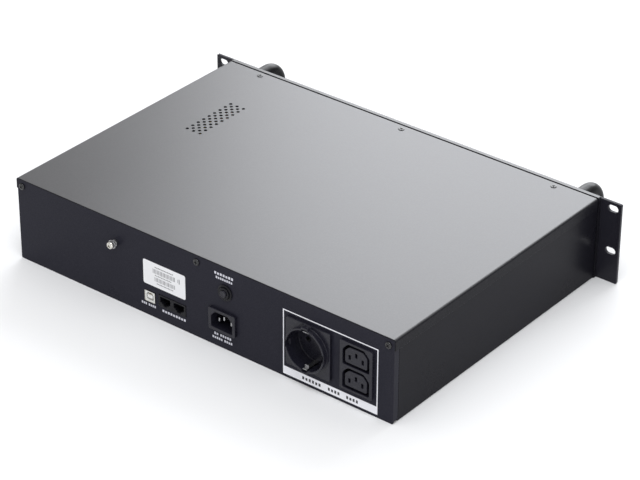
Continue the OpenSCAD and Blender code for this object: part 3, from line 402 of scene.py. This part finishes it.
def keepPiece(bm, name, look, body="chassis", replaced=(), bevel=0.0, segments=2, creaseAngle=32,
              smooth=True):
    bmesh.ops.recalc_face_normals(bm, faces=bm.faces)
    mesh = bpy.data.meshes.new(name)
    bm.to_mesh(mesh)
    bm.free()
    mesh.materials.append(made[look])
    piece = bpy.data.objects.new(name, mesh)
    bpy.context.scene.collection.objects.link(piece)
    if smooth:
        mesh.shade_smooth()
        if bevel == 0.0:
            mesh.set_sharp_from_angle(angle=math.radians(creaseAngle))
    if bevel:
        rounding = piece.modifiers.new("rounding", "BEVEL")
        rounding.width = bevel
        rounding.segments = segments
        rounding.limit_method = "ANGLE"
        rounding.angle_limit = math.radians(creaseAngle)
        rounding.use_clamp_overlap = False
        rounding.miter_outer = "MITER_ARC"
        evening = piece.modifiers.new("evening", "WEIGHTED_NORMAL")
        evening.keep_sharp = False
        evening.weight = 100
    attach(piece, body)
    if replaced:
        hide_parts(*replaced)
    return piece


def isDeepCorner(edge):
    along = edge.verts[1].co - edge.verts[0].co
    isDeep = 15 * mm < abs(along.y) < 20 * mm and abs(along.y) > 0.999 * along.length
    return isDeep and len(edge.link_faces) == 2 and edge.calc_face_angle(0.0) > 0.5


# A CAD node again as one welded skin with its edges rounded a little
def roundedCopy(node, name, look, bevel, segments=2, body="chassis", creaseAngle=32, corners=0.0,
                merged=True):
    bm = bmesh.new()
    bm.from_mesh(nodes[node].data)
    bmesh.ops.remove_doubles(bm, verts=bm.verts, dist=0.000002)
    if merged:
        bmesh.ops.dissolve_limit(bm, angle_limit=math.radians(0.5), verts=bm.verts, edges=bm.edges,
                                 delimit=set())
    if corners:  # the deep channels of a mains connector have rounded corners
        bmesh.ops.bevel(bm, geom=[edge for edge in bm.edges if isDeepCorner(edge)], offset=corners,
                        segments=3, profile=0.5, affect="EDGES", material=-1, clamp_overlap=True)
    return keepPiece(bm, name, look, body, (node,), bevel, segments, creaseAngle)


def addBlock(bm, low, high):
    size = [h - l for l, h in zip(low, high)]
    middle = [(l + h) / 2 for l, h in zip(low, high)]
    matrix = Matrix.Translation(middle) @ Matrix.Diagonal((*size, 1.0))
    return bmesh.ops.create_cube(bm, size=1.0, matrix=matrix)["verts"]


# Rings stacked along Z from one circle, drawn out ring by ring; a radius may vary with the angle
def ringStack(bm, segments, rings, matrix=None, closeEnds=True):
    loop = bmesh.ops.create_circle(bm, cap_ends=False, segments=segments, radius=1.0)["verts"]
    edges = list({edge for vert in loop for edge in vert.link_edges})
    everything, ends = [], []
    for index, (radius, height) in enumerate(rings):
        if index:
            grown = bmesh.ops.extrude_edge_only(bm, edges=edges)["geom"]
            loop = [item for item in grown if isinstance(item, bmesh.types.BMVert)]
            inLoop = set(loop)
            edges = [item for item in grown
                     if isinstance(item, bmesh.types.BMEdge) and set(item.verts) <= inLoop]
        for vert in loop:
            angle = math.atan2(vert.co.y, vert.co.x)
            reach = radius(angle) if callable(radius) else radius
            vert.co = (reach * math.cos(angle), reach * math.sin(angle), height)
        everything += loop
        if index in (0, len(rings) - 1):
            ends.append(edges)
    if closeEnds:
        for end in ends:
            bmesh.ops.contextual_create(bm, geom=end)
    if matrix is not None:
        bmesh.ops.transform(bm, matrix=matrix, verts=everything)
    return everything


# The outline of a cross recess, as a radius for each angle
def crossRadius(length, width):
    def reach(angle):
        c, s = max(abs(math.cos(angle)), 1e-6), max(abs(math.sin(angle)), 1e-6)
        return max(min(length / c, width / s), min(length / s, width / c))
    return reach


# A pan head with a cross recess; z runs from the seat out to the top of the head
def panHead(bm, radius, height, matrix, turn=0.0):
    cross = crossRadius(0.52 * radius, 0.12 * radius)
    rings = [(radius * 0.96, 0.0), (radius, 0.10 * height), (radius, 0.35 * height),
             (0.93 * radius, 0.68 * height), (0.80 * radius, 0.88 * height), (0.64 * radius, 0.985 * height),
             (0.58 * radius, height), (cross, 0.99 * height),
             (lambda angle: cross(angle) * 0.82, 0.35 * height), (0.05 * radius, 0.18 * height)]
    ringStack(bm, 48, rings, matrix @ Matrix.Rotation(turn, 4, "Z"))


# A flat head that stands just above its sheet
def flatHead(bm, radius, height, matrix, turn=0.0):
    cross = crossRadius(0.60 * radius, 0.15 * radius)
    rings = [(radius, 0.0), (radius, 0.4 * height), (0.96 * radius, 0.85 * height), (0.90 * radius, height),
             (0.66 * radius, height), (cross, 0.99 * height),
             (lambda angle: cross(angle) * 0.8, -2.2 * height), (0.05 * radius, -2.6 * height)]
    ringStack(bm, 48, rings, matrix @ Matrix.Rotation(turn, 4, "Z"))


def middleOf(node):
    low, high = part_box(node)
    return (low + high) / 2


def placeAt(x, y, z, turn=None):
    return Matrix.Translation((x, y, z)) @ (turn if turn is not None else Matrix.Identity(4))


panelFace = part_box("rear_panel")[1].y
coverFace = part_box("top_cover")[1].z


shell = {"sheetBevel": 0.16 * mm, "frontBevel": 0.35 * mm}

roundedCopy("chassis_base", "chassisTray", "casePaint", shell["sheetBevel"])
# the rear panel takes the lighter copy of the case paint, painted light on its face
roundedCopy("rear_panel", "rearPanel", "rearPaintPaintedLight", shell["sheetBevel"])
roundedCopy("front_frame", "frontFrame", "coverPaint", shell["sheetBevel"])
roundedCopy("top_cover", "topCover", "coverPaint", shell["sheetBevel"])
roundedCopy("front_plate", "frontPlate", "frontPaint", shell["frontBevel"], 3, merged=False)
for side in ("left", "right"):
    roundedCopy("handle_" + side, "handle" + side.capitalize(), "handlePaint", 0.0)
print("shell dressed")


coverScrew = {"radius": 3.0 * mm, "height": 0.5 * mm, "shank": 1.5 * mm, "turns": (0.4, 1.1, 0.2)}
rearScrew = {"radius": 3.4 * mm, "height": 1.8 * mm, "shank": 2.0 * mm, "turns": (0.9, 1.6, 0.7)}


# The middles of three screws in a row, from the box round them
def rowOfThree(node, radius):
    low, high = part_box(node)
    return [low.x + radius, (low.x + high.x) / 2, high.x - radius]


low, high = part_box("cover_screws_top")
bm = bmesh.new()
for x, turn in zip(rowOfThree("cover_screws_top", coverScrew["radius"]), coverScrew["turns"]):
    seat = placeAt(x, (low.y + high.y) / 2, coverFace)
    flatHead(bm, coverScrew["radius"], coverScrew["height"], seat, turn)
    ringStack(bm, 24, [(coverScrew["shank"], low.z - coverFace), (coverScrew["shank"], 0.0)], seat)
keepPiece(bm, "coverScrewsTop", "flatScrew", replaced=("cover_screws_top",), creaseAngle=38)

low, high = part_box("cover_screws_rear")
bm = bmesh.new()
for x, turn in zip(rowOfThree("cover_screws_rear", rearScrew["radius"]), rearScrew["turns"]):
    seat = placeAt(x, panelFace, (low.z + high.z) / 2, toRear)
    panHead(bm, rearScrew["radius"], rearScrew["height"], seat, turn)
    ringStack(bm, 24, [(rearScrew["shank"], low.y - panelFace), (rearScrew["shank"], 0.0)], seat)
keepPiece(bm, "coverScrewsRear", "blackScrew", replaced=("cover_screws_rear",), creaseAngle=38)


# Nuts as radius, start and end from the panel, washers as radius, start and end back from the screw's top
earthScrew = {"headHeight": 2.8 * mm, "headRadius": 3.7 * mm, "core": 1.72 * mm, "crest": 2.0 * mm,
              "pitch": 0.7 * mm, "nuts": ((4.0, -4.4, -1.2), (3.6, 0.0, 2.6)),
              "washers": ((4.3, 4.8, 3.9), (3.4, 3.9, 2.8))}

low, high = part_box("ground_screw")
earthMiddle = (low + high) / 2
atEarth = placeAt(earthMiddle.x, panelFace, earthMiddle.z, toRear)
earthOut = high.y - panelFace
threadEnd = earthOut - earthScrew["headHeight"]
rings, z = [(0.5 * earthScrew["core"], low.y - panelFace)], low.y - panelFace + 0.3 * mm
while z < threadEnd - earthScrew["pitch"]:
    rings += [(earthScrew["core"], z), (earthScrew["crest"], z + 0.3 * mm),
              (earthScrew["crest"], z + 0.42 * mm)]
    z += earthScrew["pitch"]
rings.append((earthScrew["core"], threadEnd))
bm = bmesh.new()
ringStack(bm, 28, rings, atEarth)
headSeat = placeAt(earthMiddle.x, panelFace + threadEnd, earthMiddle.z, toRear)
panHead(bm, earthScrew["headRadius"], earthScrew["headHeight"], headSeat, 0.7)
keepPiece(bm, "earthScrew", "nickel", replaced=("ground_screw",), creaseAngle=34)

bm = bmesh.new()
for radius, start, end in earthScrew["nuts"]:
    rings = [(0.88 * radius * mm, start * mm), (radius * mm, (start + 0.35) * mm),
             (radius * mm, (end - 0.35) * mm), (0.88 * radius * mm, end * mm)]
    ringStack(bm, 6, rings, atEarth)
for radius, start, end in earthScrew["washers"]:
    edge = 0.15 * mm
    rings = [(radius * mm - edge, earthOut - start * mm), (radius * mm, earthOut - start * mm + edge),
             (radius * mm, earthOut - end * mm - edge), (radius * mm - edge, earthOut - end * mm)]
    ringStack(bm, 40, rings, atEarth)
keepPiece(bm, "earthNutsAndWashers", "dullZinc", replaced=("ground_hardware",), creaseAngle=30)
print("screws made")


breaker = {"knurls": 36, "knurlDepth": 0.16 * mm, "seatRadius": 6.3 * mm, "boreRadius": 5.65 * mm}


def knurl(radius, depth, count):
    return lambda angle: radius - depth * (0.5 + 0.5 * math.cos(count * angle))


low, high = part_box("breaker_nut")
nut, nutTop = (high.x - low.x) / 2, high.y - panelFace
atBreaker = placeAt((low.x + high.x) / 2, panelFace, (low.z + high.z) / 2, toRear)
wavy = knurl(nut, breaker["knurlDepth"], breaker["knurls"])
rings = [(nut - 0.4 * mm, 0.0), (wavy, 0.3 * mm), (wavy, nutTop - 0.4 * mm),
         (nut - 0.45 * mm, nutTop - 0.06 * mm), (nut - 0.8 * mm, nutTop), (breaker["seatRadius"], nutTop),
         (breaker["boreRadius"], nutTop - 0.5 * mm), (breaker["boreRadius"], 0.0)]
bm = bmesh.new()
ringStack(bm, 144, rings, atBreaker, closeEnds=False)
bmesh.ops.bridge_loops(bm, edges=[edge for edge in bm.edges if edge.is_boundary])
keepPiece(bm, "breakerNut", "breakerPlastic", replaced=("breaker_nut",), creaseAngle=40)
roundedCopy("breaker_body", "breakerBody", "breakerPlastic", 0.3 * mm)

low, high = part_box("breaker_button")
start, top, radius = low.y - panelFace, high.y - panelFace, (high.x - low.x) / 2
bm = bmesh.new()
rings = [(0.94 * radius, start), (radius, start + 0.2 * mm), (radius, top - 0.7 * mm),
         (0.955 * radius, top - 0.3 * mm), (0.85 * radius, top - 0.06 * mm), (0.735 * radius, top),
         (0.65 * radius, top - 0.03 * mm), (0.47 * radius, top - 0.22 * mm),
         (0.24 * radius, top - 0.3 * mm), (0.03 * radius, top - 0.32 * mm)]
ringStack(bm, 48, rings, atBreaker)
keepPiece(bm, "breakerButton", "socketPlastic", "breaker_button", ("breaker_button",),
          creaseAngle=50)


roundedCopy("round_outlet_body", "roundOutlet", "socketPlastic", 0.5 * mm, 3, merged=False)
roundedCopy("outlet_earth_clips", "earthClips", "dullZinc", 0.2 * mm)
roundedCopy("iec_outlet_body", "doubleOutlet", "socketPlastic", 0.25 * mm, 3,
            corners=1.5 * mm)
roundedCopy("inlet_body", "inletBody", "socketPlastic", 0.25 * mm, 3, corners=1.1 * mm,
            merged=False)
roundedCopy("inlet_pins", "inletPins", "dullZinc", 0.6 * mm, 3)
roundedCopy("usb_shell", "dataPortShell", "nickel", 0.12 * mm)
roundedCopy("usb_insert", "dataPortInsert", "portWhite", 0.15 * mm)
roundedCopy("phone_jacks", "phoneJacks", "breakerPlastic", 0.2 * mm)

portContacts = {"width": 0.9 * mm, "thick": 0.3 * mm, "spread": 1.25 * mm, "reach": 1.72 * mm,
                "short": 0.9 * mm, "length": 6.6 * mm}
low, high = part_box("usb_insert")
portMiddle = (low + high) / 2
front = high.y - portContacts["short"]
bm = bmesh.new()
for across in (-1, 1):
    for level in (-1, 1):
        x = portMiddle.x + across * portContacts["spread"]
        z = portMiddle.z + level * portContacts["reach"]
        half = (portContacts["width"] / 2, portContacts["thick"] / 2)
        addBlock(bm, [x - half[0], front - portContacts["length"], z - half[1]],
                 [x + half[0], front, z + half[1]])
keepPiece(bm, "dataPortContacts", "contactBrass", bevel=0.06 * mm)
print("sockets made")


# Marks stand in for captions: plain blocks as wide as letters. Places are in millimetres from the
# middle of the part that the caption belongs to
captions = (
    {"part": "breaker_nut", "rise": 16.5, "height": 2.5, "from": 12.5, "to": -9.9, "blocks": 7},
    {"part": "breaker_nut", "rise": 12.3, "height": 2.3, "from": 10.9, "to": -8.6, "blocks": 8},
    {"part": "inlet_body", "rise": -16.1, "height": 2.4, "from": 11.0, "to": -9.2, "blocks": 7, "gapAt": 2},
    {"part": "inlet_body", "rise": -20.5, "height": 2.3, "from": 13.2, "to": -10.4, "blocks": 9, "gapAt": 5},
    {"part": "usb_shell", "rise": -9.3, "height": 2.4, "from": 10.7, "to": -6.9, "blocks": 7, "gapAt": 3},
    {"part": "phone_jacks", "rise": -9.9, "height": 2.4, "from": 12.1, "to": -16.5, "blocks": 9},
)
inkThickness = 0.05 * mm


# A row of marks from one place to another; every third one is a little lower, as small letters are
def addMarks(bm, middle, low, mark, share=0.68):
    blocks, gapAt = mark["blocks"], mark.get("gapAt")
    step = (mark["to"] - mark["from"]) / (blocks + (0.6 if gapAt else 0))
    for index in range(blocks):
        start = mark["from"] + step * (index + (0.6 if gapAt and index >= gapAt else 0))
        a, b = sorted((start, start + step * share))
        lower = 0.12 * mark["height"] * (index % 3 == 1)
        bottom = middle.z + (mark["rise"] - mark["height"] / 2) * mm
        addBlock(bm, [middle.x + a * mm, low, bottom],
                 [middle.x + b * mm, low + inkThickness, bottom + (mark["height"] - lower) * mm])


bm = bmesh.new()
for mark in captions:
    addMarks(bm, middleOf(mark["part"]), panelFace, mark)
keepPiece(bm, "captionMarks", "captionInk", smooth=False)

low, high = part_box("output_marking")
bandStart = Vector((high.x, high.y, low.z))
outputWords = ({"rise": 4.0, "height": 3.0, "from": -21.5, "to": -43.2, "blocks": 6},
               {"rise": 4.0, "height": 3.0, "from": -49.9, "to": -64.0, "blocks": 4},
               {"rise": 4.0, "height": 3.0, "from": -70.0, "to": -84.0, "blocks": 4})
bm = bmesh.new()
for mark in outputWords:
    addMarks(bm, bandStart, high.y, mark, 0.6)
keepPiece(bm, "outputMarks", "blackInk", smooth=False)
nodes["output_marking"].data.materials.clear()
nodes["output_marking"].data.materials.append(made["whiteInk"])

# The sticker's bars, its lines of marks, and two plain blocks as x, z, width and height
label = {
    "bars": ({"rise": 3.9, "height": 4.6, "from": 14.0, "to": -13.0, "count": 21},
             {"rise": -4.3, "height": 4.2, "from": 12.0, "to": -13.0, "count": 17}),
    "lines": ({"rise": 8.3, "height": 1.1, "from": 11.0, "to": -11.0, "blocks": 12},
              {"rise": -0.2, "height": 1.0, "from": 11.0, "to": -9.0, "blocks": 11},
              {"rise": -8.3, "height": 1.0, "from": 9.0, "to": -11.0, "blocks": 12}),
    "marks": ((-18.4, 1.4, 1.0, 5.0), (-16.4, 2.1, 0.5, 3.6)),
}
roundedCopy("rear_label", "rearLabel", "labelPaper", 0.05 * mm)
low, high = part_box("rear_label")
labelMiddle = (low + high) / 2
bm = bmesh.new()
barThickness = 0.03 * mm


def addBar(left, bottom, right, top):
    addBlock(bm, [labelMiddle.x + left * mm, high.y, labelMiddle.z + bottom * mm],
             [labelMiddle.x + right * mm, high.y + barThickness, labelMiddle.z + top * mm])


for bar in label["bars"]:
    step = (bar["to"] - bar["from"]) / bar["count"]
    for index in range(bar["count"]):
        half = abs(step) * (0.30 + 0.34 * ((index * 7) % 3) / 2) / 2
        x = bar["from"] + step * (index + 0.5)
        addBar(x - half, bar["rise"] - bar["height"] / 2, x + half, bar["rise"] + bar["height"] / 2)
for x, z, width, height in label["marks"]:
    addBar(x, z, x + width, z + height)
for mark in label["lines"]:
    addMarks(bm, labelMiddle, high.y, mark, 0.7)
keepPiece(bm, "labelMarks", "greyInk", smooth=False)
print("printing made")


roundedCopy("display_window", "displayWindow", "windowGlass", 0.3 * mm, 3)
signThickness = 0.04 * mm
powerSign = {"links": 28, "start": 125, "sweep": 290, "radius": 3.0 * mm}


# A flat sign on a face that looks to the front, in millimetres from a middle
def addSign(bm, middle, face, left, bottom, right, top):
    addBlock(bm, [middle.x + left * mm, face - signThickness, middle.z + bottom * mm],
             [middle.x + right * mm, face, middle.z + top * mm])


for name in ("power_button", "select_button"):
    word = name.split("_")[0]
    roundedCopy(name, word + "Button", "buttonPlastic", 0.45 * mm, 4, body=name,
                creaseAngle=40)
    middle, face = middleOf(name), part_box(name)[0].y
    bm = bmesh.new()
    if word == "power":
        for index in range(powerSign["links"]):  # an open ring with a bar, the usual sign for on and standby
            angle = math.radians(powerSign["start"] + index * powerSign["sweep"] / (powerSign["links"] - 1))
            verts = addBlock(bm, [-0.38 * mm, face - signThickness, -0.32 * mm],
                             [0.38 * mm, face, 0.32 * mm])
            place = (middle.x + powerSign["radius"] * math.cos(angle), 0,
                     middle.z + powerSign["radius"] * math.sin(angle))
            turn = Matrix.Rotation(-angle - math.pi / 2, 4, "Y")
            bmesh.ops.transform(bm, matrix=Matrix.Translation(place) @ turn, verts=verts)
        addSign(bm, middle, face, -0.32, 0.6, 0.32, 3.8)
    else:
        for index in range(3):  # three short bars, a menu sign
            addSign(bm, middle, face, -2.0, -1.8 + index * 1.5, 2.0, -1.2 + index * 1.5)
    keepPiece(bm, word + "Sign", "blackInk", name, smooth=False)

low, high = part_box("status_lenses")
radius, reach = (high.x - low.x) / 2, high.y - low.y
levels = (low.z + radius, (low.z + high.z) / 2, high.z - radius)
lightMiddles = [Vector(((low.x + high.x) / 2, 0, z)) for z in levels]
bm = bmesh.new()
for middle in lightMiddles:
    rings = [(radius, 0.0), (radius, reach - 0.5 * mm), (0.91 * radius, reach - 0.22 * mm),
             (0.7 * radius, reach - 0.07 * mm), (0.41 * radius, reach - 0.01 * mm), (0.06 * radius, reach)]
    ringStack(bm, 32, rings, placeAt(middle.x, high.y, middle.z, toFront))
keepPiece(bm, "statusLenses", "lightPipe", replaced=("status_lenses",), creaseAngle=50)

# A plain sign beside each light: one bar, one bar and a box, one bar and a smaller box
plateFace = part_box("front_plate")[0].y
bm = bmesh.new()
for middle in lightMiddles:
    addSign(bm, middle, plateFace, 3.6, -0.35, 8.4, 0.35)
addSign(bm, lightMiddles[1], plateFace, 4.2, -1.3, 7.6, 1.3)
addSign(bm, lightMiddles[2], plateFace, 5.2, -1.0, 6.8, 1.0)
keepPiece(bm, "lightSigns", "whiteInk", smooth=False)

# Segments of the display, in millimetres from its middle
displayMiddle, displayFace = middleOf("display_window"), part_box("lcd_module")[0].y - 0.05 * mm
bm = bmesh.new()
for index in range(5):  # two stacks of level bars, one at each end
    for left in (-32.0, 25.0):
        addSign(bm, displayMiddle, displayFace, left, -12.0 + index * 4.2, left + 6.5, -9.2 + index * 4.2)
batteryEdges = ((-19, 2, 9, 2.7), (-19, 12.3, 9, 13), (-19, 2, -18.3, 13), (8.3, 2, 9, 13),
                (9.2, 5.5, 10.6, 9.5))
for edges in batteryEdges:
    addSign(bm, displayMiddle, displayFace, *edges)
for index in range(4):
    addSign(bm, displayMiddle, displayFace, -17.2 + index * 6.4, 3.8, -12.4 + index * 6.4, 11.2)
for index in range(9):
    rise = 3.2 * (1 + math.sin(index * 0.9))
    addSign(bm, displayMiddle, displayFace, -20 + index * 4.4, rise - 11, -16.6 + index * 4.4, rise - 10)
keepPiece(bm, "displaySegments", "blackInk", smooth=False)
print("front made")


# Inner parts keep their CAD shape
kept = {
    "zincSteel": ("handle_screws", "battery_straps", "base_screws", "transformer_frame", "transformer_bolts",
                  "display_standoffs", "board_standoffs", "board_screws"),
    "contactBrass": ("jack_contacts",),
    "dullZinc": ("outlet_contacts", "iec_contacts"),
    "nickel": ("battery_terminals",),
    "lcdPanel": ("lcd_module",),
    "boardGreen": ("display_board", "main_board", "comms_board"),
    "innerPlastic": ("button_guide", "front_switches", "transistors", "relays"),
    "ledWhite": ("status_leds",),
    "batteryPlastic": ("battery_front", "battery_rear"),
    "leadPlates": ("battery_plates",),
    "coreSteel": ("transformer_core",),
    "coilCopper": ("transformer_coil",),
    "sinkAluminium": ("heatsinks",),
    "capSleeve": ("capacitors",),
    "cableRed": ("battery_leads",),
    "cableBrown": ("mains_wiring",),
    "cableGrey": ("display_lead",),
    "cableYellow": ("transformer_leads",),
}
for look, names in kept.items():
    for name in names:
        nodes[name].data.materials.clear()
        nodes[name].data.materials.append(made[look])
print("inner parts finished")


studio = {"floorSize": 24.0, "floorColour": rgba(0.90), "world": 0.75, "lampColour": (0.94, 0.96, 1.0),
          "keyAcross": 1.22, "keySize": (3.2, 2.2), "keyDistance": 3.2, "keyPower": 82.0,
          "topPlace": (-0.6, 0.9, 2.6), "topSize": (1.6, 1.6), "topPower": 30.0,
          "fillPlace": (-2.4, 1.6, 0.9), "fillSize": (0.9, 0.9), "fillPower": 8.0}

bm = bmesh.new()
bmesh.ops.create_grid(bm, x_segments=1, y_segments=1, size=studio["floorSize"] / 2)
floorMesh = bpy.data.meshes.new("studioFloor")
bm.to_mesh(floorMesh)
bm.free()
studioFloor = bpy.data.objects.new("studioFloor", floorMesh)
bpy.context.scene.collection.objects.link(studioFloor)
floorMaterial, _, floorShader = startMaterial("palePaper")
setInputs(floorShader, Base_Color=studio["floorColour"], Roughness=0.9, Specular_IOR_Level=0.1)
floorMesh.materials.append(floorMaterial)

world = bpy.data.worlds.new("studioAir")
bpy.context.scene.world = world
world.use_nodes = True
world.node_tree.nodes["Background"].inputs["Color"].default_value = rgba(1.0)
world.node_tree.nodes["Background"].inputs["Strength"].default_value = studio["world"]

# The camera's place, its lens, and how it is turned, in degrees
view = {"place": (-1.3168, 1.63965, 1.2839), "lens": 148.54, "sensor": 36.0, "azimuth": 141.556,
        "elevation": 30.825, "roll": 0.316}
azimuth, elevation, roll = (math.radians(view[turn]) for turn in ("azimuth", "elevation", "roll"))
flat = math.cos(elevation)
sight = Vector((flat * math.sin(azimuth), flat * math.cos(azimuth), -math.sin(elevation)))
level = sight.cross(Vector((0, 0, 1))).normalized()
upright = level.cross(sight)
across = math.cos(roll) * level + math.sin(roll) * upright
up = -math.sin(roll) * level + math.cos(roll) * upright


def addSoftbox(name, place, target, size, power):
    lamp = bpy.data.lights.new(name, "AREA")
    lamp.shape = "RECTANGLE"
    lamp.size, lamp.size_y = size
    lamp.energy = power
    lamp.color = studio["lampColour"]
    lampObject = bpy.data.objects.new(name, lamp)
    bpy.context.scene.collection.objects.link(lampObject)
    lampObject.location = place
    lampObject.rotation_euler = (Vector(target) - Vector(place)).to_track_quat("-Z", "Y").to_euler()


# The key lamp stands where the cover mirrors it towards the camera, and a little to one side
coverMiddle = Vector((0.0, 0.0, 0.086))
mirrored = Vector((sight.x, sight.y, -sight.z))
keyPlace = coverMiddle + mirrored * studio["keyDistance"] + level * studio["keyAcross"]
addSoftbox("keySoftbox", keyPlace, coverMiddle, studio["keySize"], studio["keyPower"])
addSoftbox("topSoftbox", studio["topPlace"], (0, 0, 0), studio["topSize"], studio["topPower"])
addSoftbox("fillSoftbox", studio["fillPlace"], (0, 0.1, 0.04), studio["fillSize"], studio["fillPower"])

cameraData = bpy.data.cameras.new("studioCamera")
cameraData.lens = view["lens"]
cameraData.sensor_width = view["sensor"]
camera = bpy.data.objects.new("studioCamera", cameraData)
bpy.context.scene.collection.objects.link(camera)
facing = Matrix((across, up, -sight)).transposed()
camera.matrix_world = Matrix.Translation(view["place"]) @ facing.to_4x4()
cameraData.clip_start = 0.05
cameraData.clip_end = 100.0
bpy.context.scene.camera = camera
bpy.context.scene.view_settings.view_transform = "Standard"
print("studio set")
